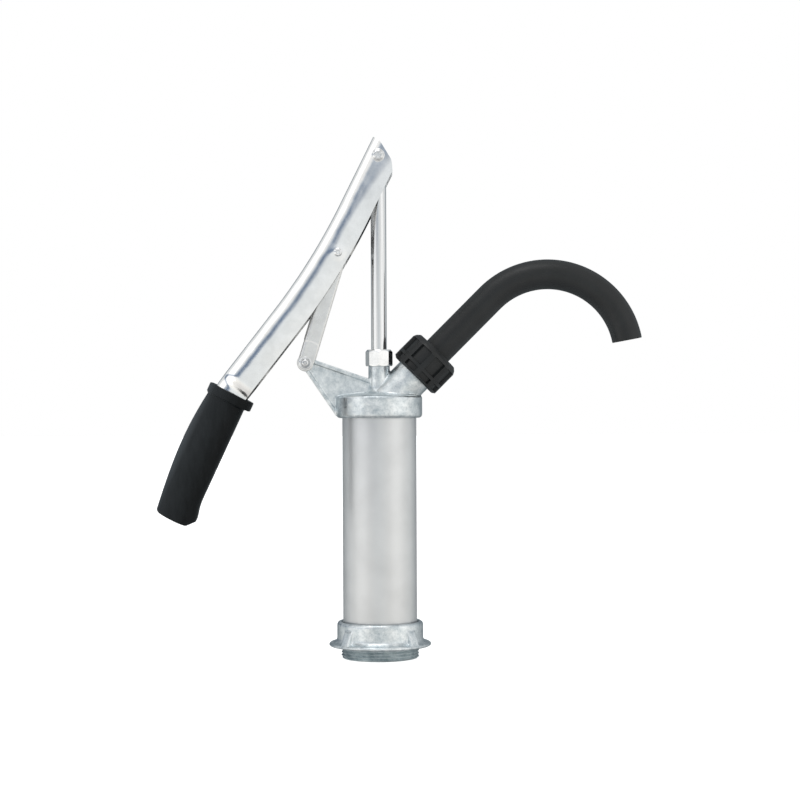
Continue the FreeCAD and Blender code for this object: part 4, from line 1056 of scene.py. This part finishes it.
@dataclass
class Lever:
    """The pressed channel of the lever."""

    line: LeverLine
    link_pivot: tuple[float, float]
    width: float = 24.0
    narrow_width: float = 19.0
    depth: float = 25.2
    shank_depth: float = 22.6
    taper: float = 8.0
    sheet: float = 2.0
    corner: float = 7.0
    corner_depth: float = 11.5
    boss_radius: float = 7.4
    boss_slope: float = 4.6
    boss_height: float = 0.32
    crown: float = 0.10
    crown_share: float = 0.22
    tip_crown: float = 0.88
    tip_crown_share: float = 0.8
    tip_crown_length: float = 34.0
    tip_depths: tuple[float, ...] = (4.6, 10.5, 20.4, 23.2, 25.2)
    tip_starts: tuple[float, ...] = (0.0, 3.5, 9.9, 13.7, 18.2)
    tip_reach: float = 40.0
    splay_marks: tuple[float, ...] = (0.0, 45.0, 85.0, 180.0, 222.0, 232.0)
    splay: tuple[float, ...] = (0.0, 0.05, 1.0, 1.25, 0.5, 0.0)
    splay_power: float = 1.6
    shank_stretch: float = 95.0

    def section(self) -> tuple[np.ndarray, np.ndarray, np.ndarray]:
        """The channel's section as a walk along its skin, from one flange's edge to the other's.

        Returns:
            For each point of the walk: its side (-1 to 1, a share of the back's flat half width); how
            far out and how far up it lies from its corner's centre, as shares of the corner's size;
            and how far it is down the flange's straight part, from 0 to 1.
        """
        arc = np.linspace(0, math.pi / 2, 9)
        flange = np.linspace(1, 0, 26)[:-1]
        back = np.linspace(-1, 1, 10)[1:-1]
        level, near, far = np.zeros(len(flange)), -np.ones(len(flange)), np.ones(len(flange))
        side = np.concatenate([near, -np.ones(len(arc)), back, np.ones(len(arc)), far])
        out = np.concatenate([near, -np.cos(arc), 0 * back, np.sin(arc), far])
        rise = np.concatenate([level, np.sin(arc), np.ones(len(back)), np.cos(arc), level])
        run = np.concatenate([flange, np.zeros(2 * len(arc) + len(back)), flange[::-1]])
        return side, np.stack([out, rise], -1), run

    def skin(self, along: np.ndarray, inset: float) -> np.ndarray:
        """The channel's outer or inner skin.

        A point's width is the half width less the corner, plus the corner's radius along the arc. Its
        depth falls by the arc's rise, which is longer than the arc is wide, then along the flange. Near
        the tip the channel starts later the deeper it is, along the tip's outline. Round the link pivot
        the skin is raised into a boss. The flanges lean in a little towards their edges and towards the
        back, as pressed ones do, by powers of the share of their depth.

        Args:
            along: Stations along the back.
            inset: How far the skin lies inside the outer one.

        Returns:
            Points, stations by walk by three.
        """
        side, arc, run = self.section()
        marks = self.line.knots()[0]
        neck = smooth_step((along - (marks[3] - self.line.neck_length)) / self.line.neck_length)
        half = (self.width + (self.narrow_width - self.width) * neck)[:, None] / 2
        taper = smooth_step((along - marks[4]) / self.taper)
        deep = (self.depth - (self.depth - self.shank_depth) * taper)[:, None]
        flat = half - self.corner
        across = side * flat + arc[:, 0] * (self.corner - inset)
        depth = self.corner_depth - arc[:, 1] * (self.corner_depth - inset) + run * (deep - self.corner_depth)
        start = np.interp(depth, self.tip_depths, self.tip_starts)
        distance = along[:, None] + start * np.clip(1 - along[:, None] / self.tip_reach, 0, 1)
        x, z, slope = self.line.at(distance)
        away = heading(slope - 90)
        x, z = x + away[0] * depth, z + away[1] * depth
        reach = np.hypot(x - self.link_pivot[0], z - self.link_pivot[1])
        boss = self.boss_height * smooth_step((self.boss_radius - reach) / self.boss_slope)
        boss = boss * (np.abs(arc[:, 0]) > 0.999)
        lean = np.interp(distance, self.splay_marks, self.splay) * run ** self.splay_power
        near_tip = np.exp(-(distance / self.tip_crown_length) ** 2)
        crown = self.crown + (self.tip_crown - self.crown) * near_tip
        share = self.crown_share + (self.tip_crown_share - self.crown_share) * near_tip
        lean = lean + crown * np.clip(1 - run / share, 0, 1) ** 2
        lean = lean * np.abs(arc[:, 0])
        return np.stack([x, across + np.sign(across) * (boss - lean), z], -1)

    def build(self) -> bpy.types.Object:
        """Outer and inner skins joined along the flanges' edges and at both ends."""
        end = float(self.line.knots()[0][-1])
        shank = end - self.shank_stretch
        along = np.unique(np.concatenate([np.linspace(0, self.tip_reach, 50), [0.25, 0.6],
                                          np.linspace(self.tip_reach, shank, 150),
                                          np.linspace(shank, end, 40)]))
        outer = self.skin(along, 0.0)
        inner = self.skin(along, self.sheet)[:, ::-1]
        middle_first = (outer[:, :1] + inner[:, -1:]) / 2
        middle_last = (outer[:, -1:] + inner[:, :1]) / 2
        grid = np.concatenate([middle_first, outer, middle_last, inner], 1)
        columns = grid.shape[1]
        faces = grid_faces(len(along), columns, False, True).tolist()
        half = outer.shape[1]
        first = np.arange(1, half)
        facing = 2 * half + 2 - first
        for base, turn in ((0, -1), ((len(along) - 1) * columns, 1)):
            caps = np.stack([first, first + 1, facing - 1, facing], -1) + base
            faces += caps[:, ::turn].tolist()
            edges = [[base, base + 1, base + columns - 1], [base + half, base + half + 1, base + half + 2]]
            faces += [corners[::turn] for corners in edges]
        piece = make_piece("lever_channel", grid.reshape(-1, 3), faces, 32)
        return dress(piece, Body.LEVER, Slot.SHEET, LEVER_PLATE, "lever")


@dataclass
class Grip:
    """The moulded sleeve on the lever's shank."""

    line: LeverLine
    length: float = 111.0
    over_bend: float = 7.0
    shank_half: float = 9.5
    shank_depth: float = 22.6
    lever_depth: float = 25.2
    side_wall: float = 3.4
    side_bulge: float = 1.8
    back_wall: float = 1.7
    back_bulge: float = 4.6
    front_wall: float = 4.1
    foot_flare: float = 2.4
    corner: float = 8.5
    collar_low: float = 3.2
    collar_thick: float = 7.2
    collar_out: float = 3.3
    collar_round: float = 0.7
    end_round: float = 0.9
    back_round: float = 3.0
    heel_length: float = 6.2
    heel_drop: float = 5.4
    slant: float = 0.04
    side_crown: float = 0.13
    swell_lead: float = 0.9
    foot_share: float = 0.93
    foot_spread: tuple[float, float] = (0.075, 0.05)
    heel_rise: float = 2.0
    root_length: float = 1.4
    root_round: float = 0.9
    root_front: float = 1.6
    mouth_depth: float = 14.0
    mouth_corner: float = 6.0
    mouth_gap: float = 0.3

    def rings(self, along: np.ndarray, half: np.ndarray, top: np.ndarray, low: np.ndarray,
              corner: np.ndarray) -> np.ndarray:
        """Rounded rectangles across the shank, each slanted a little along it by its depth.

        Their sides are crowned: the width falls with the square of the distance from mid-depth.

        Args:
            along: Distances of the rings from the end of the shank's bend.
            half: Half of each ring's width.
            top: Depth of its back below the lever's back.
            low: Depth of its front.
            corner: Its corners' radius.

        Returns:
            Points, rings by points of a ring by three.
        """
        turn = np.linspace(0, math.pi / 2, 9)
        share = np.linspace(0, 1, 12)[1:-1]
        sides = np.array([[-1, -1], [1, -1], [1, 1], [-1, 1]])
        wide, deep = [], []
        for index, (across, down) in enumerate(sides):
            angle = turn + math.pi + index * math.pi / 2
            arc_wide, arc_deep = corner[:, None] * np.cos(angle), corner[:, None] * np.sin(angle)
            wide.append(across * (half - corner)[:, None] + arc_wide)
            deep.append((top + corner if down < 0 else low - corner)[:, None] + arc_deep)
            follow = sides[(index + 1) % 4]
            centre = (top + corner if follow[1] < 0 else low - corner)[:, None]
            ends_wide = follow[0] * (half - corner)[:, None] + arc_wide[:, -1:]
            ends_deep = centre + arc_deep[:, -1:]
            wide.append(wide[-1][:, -1:] * (1 - share) + ends_wide * share)
            deep.append(deep[-1][:, -1:] * (1 - share) + ends_deep * share)
        across, depth = np.concatenate(wide, 1), np.concatenate(deep, 1)
        middle = (top + low)[:, None] / 2
        across = across * (1 - self.side_crown * ((depth - middle) / (low - top)[:, None] * 2) ** 2)
        x, z, slope = self.line.at(np.full(1, self.line.bend_end()))
        down, away = heading(slope), heading(slope - 90)
        distance = along[:, None] + self.slant * depth
        return np.stack([x + down[0] * distance + away[0] * depth, across,
                         z + down[1] * distance + away[1] * depth], -1)

    def build(self) -> bpy.types.Object:
        """Collar, swelling body and rounded end in one skin, with a mouth round the shank."""
        first = self.collar_low - self.over_bend
        last = self.length - self.over_bend
        collar_end = first + self.collar_thick
        along = np.unique(np.concatenate([np.linspace(first, first + self.collar_round, 9),
                                          np.linspace(collar_end - self.collar_round,
                                                      collar_end + self.root_length, 16),
                                          np.linspace(collar_end, last - 8, 80),
                                          np.linspace(last - 8, last, 60)]))
        share = (along + self.over_bend) / self.length
        swell = np.sin(math.pi * share ** self.swell_lead)
        spread = np.where(share < self.foot_share, *self.foot_spread)
        foot = np.exp(-((share - self.foot_share) / spread) ** 2)
        half = self.shank_half + self.side_wall + self.side_bulge * swell
        top = -self.back_wall - self.back_bulge * swell
        low = self.shank_depth + self.front_wall + self.foot_flare * foot
        heel = np.clip((along - (last - self.heel_length)) / self.heel_length, 0, 1)
        full = self.shank_depth + self.front_wall + self.foot_flare
        low = np.where(heel > 0, np.minimum(low + self.heel_rise, full - self.heel_drop * heel), low)
        corner = np.full_like(along, self.corner)
        edge = np.minimum(along - first, collar_end - along)
        from_edge = 1 - np.clip(edge / self.collar_round, 0, 1)
        round_in = self.collar_round * (1 - np.sqrt(1 - from_edge ** 2))
        on_collar = edge >= 0
        root = smooth_step((along - collar_end) / self.root_length)
        half = np.where(on_collar, self.shank_half + self.side_wall + self.collar_out - round_in, half)
        top = np.where(on_collar, -self.back_wall - self.collar_out + round_in, top)
        low = np.where(on_collar, self.lever_depth + self.front_wall + self.collar_out * 0.6 - round_in, low)
        corner = np.where(on_collar, self.corner + self.collar_out / 2 - round_in * 0.5, corner)
        near = (edge < 0) & (root < 1)
        half = np.where(near, half + self.root_round * (1 - root), half)
        low = np.where(near, low + self.root_front * (1 - root), low)
        top = np.where(near, top - self.root_round * (1 - root), top)
        fade = np.clip((along - (last - self.end_round)) / self.end_round, 0, 1)
        shrink = self.end_round * (1 - np.sqrt(1 - fade ** 2))
        back = np.clip((along - (last - self.back_round)) / self.back_round, 0, 1)
        half, low = half - shrink, low - shrink
        top = top + self.back_round * (1 - np.sqrt(1 - back ** 2))
        skin = self.rings(along, half, top, low, corner)
        mouth = (self.shank_half + self.mouth_gap, -self.mouth_gap, self.lever_depth + self.mouth_gap,
                 self.mouth_corner)
        hole = self.rings(np.array([first, first + self.mouth_depth]), *(np.full(2, size) for size in mouth))
        grid = np.concatenate([hole[::-1], skin])
        piece = capped_grid("grip_sleeve", grid, 40)
        return dress(piece, Body.LEVER, Slot.BLACK_RUBBER, GRIP_VINYL_PAINTED_SHEEN, "grip")


# ---- pins --------------------------------------------------------------------------------------
# Outlines are corners as (distance from the pin's axis, distance outwards, radius of the corner).
NEAR_AXIS = 0.05
CAP_OUTLINE = [(NEAR_AXIS, -1.6, 0), (4.9, -1.6, 0.1), (5.0, 0.75, 0.3), (4.3, 1.0, 0.3), (4.0, 1.9, 0.4),
               (3.0, 2.5, 0.4), (2.2, 2.62, 0.3), (1.5, 2.5, 0.3), (1.2, 1.0, 0.2), (NEAR_AXIS, 0.9, 0)]
RIVET_OUTLINE = [(NEAR_AXIS, -1.5, 0), (3.3, -1.5, 0.1), (3.3, 0.25, 0.4), (2.6, 1.35, 0.8),
                 (1.6, 1.7, 0.4), (1.05, 1.0, 0.3), (0.8, -0.6, 0.1), (NEAR_AXIS, -0.7, 0)]
WASHER_OUTLINE = [(3.05, 0, 0.1), (4.9, 0, 0.2), (4.9, 0.55, 0.25), (4.3, 0.8, 0.25), (3.9, 0.8, 0.2),
                  (3.4, 0.3, 0.15), (3.05, 0.3, 0.1)]
# Half of the arm pin, from its middle to the floor of its punched centre, as (radius, distance outwards).
ARM_PIN_HALF = [(2.95, 0.0), (2.95, 8.3), (2.9, 8.6), (2.55, 9.15), (2.0, 9.5), (1.5, 9.55), (1.15, 9.2),
                (0.9, 8.5), (0.5, 8.2), (NEAR_AXIS, 8.15)]


@dataclass
class PinEnds:
    """The heads, caps and washers on the linkage's three cross pins."""

    arm: tuple[float, float]
    link: tuple[float, float]
    rod: tuple[float, float]
    lever_half: float = 12.0
    rivet_out: float = 0.35
    washer_out: float = 7.55
    cap_dents: int = 6
    dent_depth: float = 1.15
    dent_base: float = 0.9
    dent_inner: float = 1.3
    dent_outer: float = 4.3

    def both_sides(self, name: str, loop: np.ndarray, pivot: tuple[float, float], start: float,
                   dents: int = 0) -> bpy.types.Object:
        """Turn an outline on both ends of a pin, with dents pressed round its crown.

        Args:
            name: The piece's name.
            loop: Closed (radius, height) outline, its height measured from the start.
            pivot: X and Z of the pin.
            start: Distance of the outline's zero from the middle of the pump.
            dents: Number of radial dents.

        Returns:
            One piece with both ends.
        """
        grid = lathe(loop, 144)
        if dents:
            turn = np.arctan2(grid[..., 1], grid[..., 0])
            reach = np.hypot(grid[..., 0], grid[..., 1])
            wedge = smooth_step((np.cos(turn * dents) - 0.45) / 0.25)
            inside, outside = (reach - self.dent_inner) / 0.3, (self.dent_outer - reach) / 0.4
            crown = (grid[..., 2] > self.dent_base) * smooth_step(inside) * smooth_step(outside)
            grid[..., 2] -= self.dent_depth * wedge * crown
        grid[..., 2] += start
        halves = [about_pin(grid, pivot, side) for side in (-1, 1)]
        rows, columns = grid.shape[:2]
        faces = grid_faces(rows, columns, True, True)
        turned = faces[:, ::-1] + rows * columns
        points = np.concatenate([half.reshape(-1, 3) for half in halves])
        return make_piece(name, points, np.concatenate([faces, turned]).tolist(), 30)

    def build(self) -> None:
        """Caps at the rod pin, riveted heads at the link pin, washers and heads at the arm pin."""
        cap = self.both_sides("rod_pin_caps", rounded_loop(CAP_OUTLINE), self.rod, self.lever_half,
                              self.cap_dents)
        dress(cap, Body.LEVER, Slot.BRIGHT, PIN_PLATE, "lever_pin_caps")
        rivet = self.both_sides("link_pin_rivets", rounded_loop(RIVET_OUTLINE), self.link,
                                self.lever_half + self.rivet_out)
        dress(rivet, Body.LEVER, Slot.BRIGHT, PIN_PLATE, "link_pin_heads")
        washer = self.both_sides("arm_pin_rings", rounded_loop(WASHER_OUTLINE), self.arm, self.washer_out)
        dress(washer, Body.LINK, Slot.BRIGHT, PIN_PLATE, "arm_pin_washers")
        self.arm_pin()

    def arm_pin(self) -> None:
        """The arm pin: a plain barrel with domed heads that have a punched centre."""
        walk = np.array([(radius, -out) for radius, out in ARM_PIN_HALF[::-1]] + ARM_PIN_HALF[1:])
        grid = about_pin(lathe(walk, 96), self.arm, 1)
        piece = capped_grid("arm_pin_riveted", grid, 50)
        dress(piece, Body.PUMP, Slot.BRIGHT, PIN_PLATE, "arm_pin")


# ---- CAD nodes that keep their shape -----------------------------------------------------------
KEPT_NODES: dict[str, Finish] = {
    "foot_valve_seat": VALVE_PLASTIC,
    "foot_valve_stem": BRASS,
    "foot_valve_disc": SEAL_RUBBER,
    "base_gasket": SEAL_RUBBER,
    "head_gasket": SEAL_RUBBER,
    "rod_bush": BRASS,
    "gland_washer": BRASS,
    "gland_packing": SEAL_RUBBER,
    "outlet_gasket": SEAL_RUBBER,
    "piston_rod": ROD_STEEL,
    "piston_stop": PIN_PLATE,
    "piston_sleeve": BRASS,
    "piston_valve": VALVE_PLASTIC,
    "piston_body": VALVE_PLASTIC,
    "piston_cup": SEAL_RUBBER,
    "piston_clamp": PIN_PLATE,
    "piston_nut": PIN_PLATE,
    "rod_spacers": VALVE_PLASTIC,
    "lever_pin": PIN_PLATE,
    "link_pin": PIN_PLATE,
}


def dress_kept_nodes() -> None:
    """Give every CAD node that stays its finish."""
    for name, finish in KEPT_NODES.items():
        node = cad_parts[name]
        node.data.materials.clear()
        node.data.materials.append(finish.material())
        LOG.info("%s keeps its CAD shape, in %s", name, finish.name)


# ---- studio ------------------------------------------------------------------------------------
# Tones by one part of the direction: where each one lies, from -1 to 1, and its red, green and blue.
Stops = tuple[tuple[float, float, float, float], ...]


@dataclass
class Studio:
    """A pale floor, two tall soft lights and one above, a dim surround and the camera."""

    aim_x: float = 16.0
    aim_z: float = 188.7
    distance: float = 1455.0
    lens: float = 85.0
    roll: float = 0.25
    floor_half: float = 9000.0
    front_to_back: Stops = (
        (-1.0, 0.74, 0.77, 0.79), (-0.96, 0.82, 0.84, 0.85), (-0.86, 0.92, 0.915, 0.905),
        (-0.3, 0.89, 0.885, 0.875), (0.25, 0.78, 0.80, 0.81), (0.55, 0.50, 0.53, 0.55),
        (0.8, 0.24, 0.27, 0.29), (1.0, 0.22, 0.25, 0.27))
    low_to_high: Stops = (
        (-1.0, 0.42, 0.43, 0.44), (-0.5, 0.90, 0.89, 0.87), (-0.2, 1.12, 1.10, 1.06),
        (0.1, 1.08, 1.08, 1.07), (0.5, 1.0, 1.0, 1.0))
    dark_strip: Stops = (
        (0.07, 1.0, 1.0, 1.0), (0.12, 0.26, 0.32, 0.42), (0.18, 0.12, 0.17, 0.27), (0.26, 0.44, 0.50, 0.58),
        (0.34, 1.0, 1.0, 1.0))
    strip_side: tuple[float, float] = (-0.22, 0.0)

    def floor(self) -> None:
        """A flat pale floor just under the pump's lowest point, slightly lit of itself."""
        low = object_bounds()[0].z / MM - 0.2
        edge = np.linspace(-self.floor_half, self.floor_half, 3)
        x, y = np.meshgrid(edge, edge, indexing="ij")
        grid = np.stack([x, y, np.full_like(x, low)], -1)
        mesh = bpy.data.meshes.new("studio_floor")
        faces = grid_faces(3, 3, False, False)[:, ::-1]
        mesh.from_pydata((grid.reshape(-1, 3) * MM).tolist(), [], faces.tolist())
        floor = bpy.data.objects.new("studio_floor", mesh)
        bpy.context.scene.collection.objects.link(floor)
        shader = Shader("studio_floor_white")
        shader.set(Base_Color=(0.86, 0.86, 0.86, 1), Roughness=0.9, Specular_IOR_Level=0.0,
                   Emission_Color=(1, 1, 1, 1), Emission_Strength=0.75)
        mesh.materials.append(shader.material)
        floor.visible_glossy = False
        floor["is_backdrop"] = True

    def lamp(self, name: str, azimuth: float, height: float, distance: float, size: tuple[float, float],
             power: float) -> None:
        """A soft panel that faces the pump.

        Args:
            name: The lamp's name.
            azimuth: Degrees from the camera's side, positive to the right.
            height: Height of its centre.
            distance: Distance from the pump axis.
            size: Width and height.
            power: Watts.
        """
        light = bpy.data.lights.new(name, "AREA")
        light.shape = "RECTANGLE"
        light.size, light.size_y = size[0] * MM, size[1] * MM
        light.energy = power
        lamp = bpy.data.objects.new(name, light)
        turn = math.radians(azimuth)
        lamp.location = Vector((math.sin(turn) * distance, -math.cos(turn) * distance, height)) * MM
        target = Vector((self.aim_x, 0, self.aim_z)) * MM
        lamp.rotation_euler = (target - lamp.location).to_track_quat("-Z", "Y").to_euler()
        bpy.context.scene.collection.objects.link(lamp)

    def lamps(self) -> None:
        """Two tall panels beside the camera and one above."""
        self.lamp("left_panel", -58, 420, 1250, (900, 1500), 1.5)
        self.lamp("right_panel", 56, 420, 1250, (860, 1500), 1.1)
        self.lamp("top_panel", -20, 1500, 500, (900, 700), 3.0)

    def surround(self) -> None:
        """A white world for the camera.

        Reflections see soft grey instead, dimmer behind, with a dark strip on the left.
        """
        world = bpy.data.worlds.new("surround")
        bpy.context.scene.world = world
        world.use_nodes = True
        tree = world.node_tree
        shade = tree.nodes["Background"]
        coordinates = tree.nodes.new("ShaderNodeTexCoord")
        parts = tree.nodes.new("ShaderNodeSeparateXYZ")
        tree.links.new(coordinates.outputs["Generated"], parts.inputs["Vector"])
        around = self.bands(tree, parts.outputs["Y"], self.front_to_back)
        upward = self.bands(tree, parts.outputs["Z"], self.low_to_high)
        strip = self.bands(tree, parts.outputs["Z"], self.dark_strip)
        share = tree.nodes.new("ShaderNodeMapRange")
        share.inputs["From Min"].default_value = self.strip_side[1]
        share.inputs["From Max"].default_value = self.strip_side[0]
        tree.links.new(parts.outputs["X"], share.inputs["Value"])
        both = self.product(tree, around, upward)
        shaded = self.product(tree, both, strip, share.outputs["Result"])
        tree.links.new(shaded, shade.inputs["Color"])
        white = tree.nodes.new("ShaderNodeBackground")
        white.inputs["Color"].default_value = (1, 1, 1, 1)
        rays = tree.nodes.new("ShaderNodeLightPath")
        mix = tree.nodes.new("ShaderNodeMixShader")
        tree.links.new(rays.outputs["Is Camera Ray"], mix.inputs["Fac"])
        tree.links.new(shade.outputs["Background"], mix.inputs[1])
        tree.links.new(white.outputs["Background"], mix.inputs[2])
        tree.links.new(mix.outputs["Shader"], tree.nodes["World Output"].inputs["Surface"])

    @staticmethod
    def product(tree: bpy.types.NodeTree, first: bpy.types.NodeSocket, second: bpy.types.NodeSocket,
                share: bpy.types.NodeSocket | None = None) -> bpy.types.NodeSocket:
        """Multiply two tones.

        Args:
            tree: The world's nodes.
            first: The tone to multiply.
            second: The tone that it is multiplied by.
            share: How much of the second tone counts; all of it if left out.

        Returns:
            The product.
        """
        mix = tree.nodes.new("ShaderNodeMix")
        mix.data_type = "RGBA"
        mix.blend_type = "MULTIPLY"
        mix.inputs["Factor"].default_value = 1.0
        if share is not None:
            tree.links.new(share, mix.inputs["Factor"])
        tree.links.new(first, mix.inputs["A"])
        tree.links.new(second, mix.inputs["B"])
        return mix.outputs["Result"]

    @staticmethod
    def bands(tree: bpy.types.NodeTree, source: bpy.types.NodeSocket,
              stops: Stops) -> bpy.types.NodeSocket:
        """Tones by one part of the direction.

        Args:
            tree: The world's nodes.
            source: The part of the direction, from -1 to 1.
            stops: The tones.

        Returns:
            The tone.
        """
        ramp = tree.nodes.new("ShaderNodeValToRGB")
        elements = ramp.color_ramp.elements
        for index, (spot, red, green, blue) in enumerate(stops):
            element = elements[index] if index < 2 else elements.new(1.0)
            element.position = spot / 2 + 0.5
            element.color = (red, green, blue, 1)
        share = tree.nodes.new("ShaderNodeMapRange")
        share.inputs["From Min"].default_value = -1
        tree.links.new(source, share.inputs["Value"])
        tree.links.new(share.outputs["Result"], ramp.inputs["Fac"])
        return ramp.outputs["Color"]

    def camera(self) -> None:
        """A long lens square to the linkage's plane."""
        data = bpy.data.cameras.new("camera")
        data.lens = self.lens
        data.sensor_width = 36.0
        data.clip_end = 100.0
        camera = bpy.data.objects.new("camera", data)
        upright = Matrix.Rotation(math.radians(90), 4, "X")
        rolled = upright @ Matrix.Rotation(math.radians(-self.roll), 4, "Z")
        place = Vector((self.aim_x, -self.distance, self.aim_z)) * MM
        camera.matrix_world = Matrix.Translation(place) @ rolled
        bpy.context.scene.collection.objects.link(camera)
        bpy.context.scene.camera = camera

    def build(self) -> None:
        """Floor, lamps, surround and camera."""
        self.floor()
        self.lamps()
        self.surround()
        self.camera()
        bpy.context.scene.view_settings.view_transform = "Standard"


def main() -> None:
    """Build the pump's looks in order, from the drum up, and then the studio."""
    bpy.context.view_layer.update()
    pivots = {"arm": (-56.5, 217.4), "link": (-30.8601, 301.7910), "rod": (0.0, 376.0326)}
    dress_kept_nodes()
    adapter = DrumAdapter("drum_adapter", "adapter_casting", CASTING)
    adapter.build()
    adapter.thread()
    Barrel().build()
    Casting("pump_head", "head_casting", CASTING, voxel=0.46, smoothing=5).build()
    GlandNut().build()
    Link("link", "link_channel", LINK_ZINC, Body.LINK, Slot.ZINC, voxel=0.42, smoothing=2).build()
    outlet = Outlet()
    outlet.nut()
    outlet.spout()
    line = LeverLine(pivots["rod"])
    Lever(line, pivots["link"]).build()
    Grip(line).build()
    PinEnds(pivots["arm"], pivots["link"], pivots["rod"]).build()
    Studio().build()


if __name__ == "__main__":
    logging.basicConfig(level=logging.INFO, format="%(message)s")
    main()
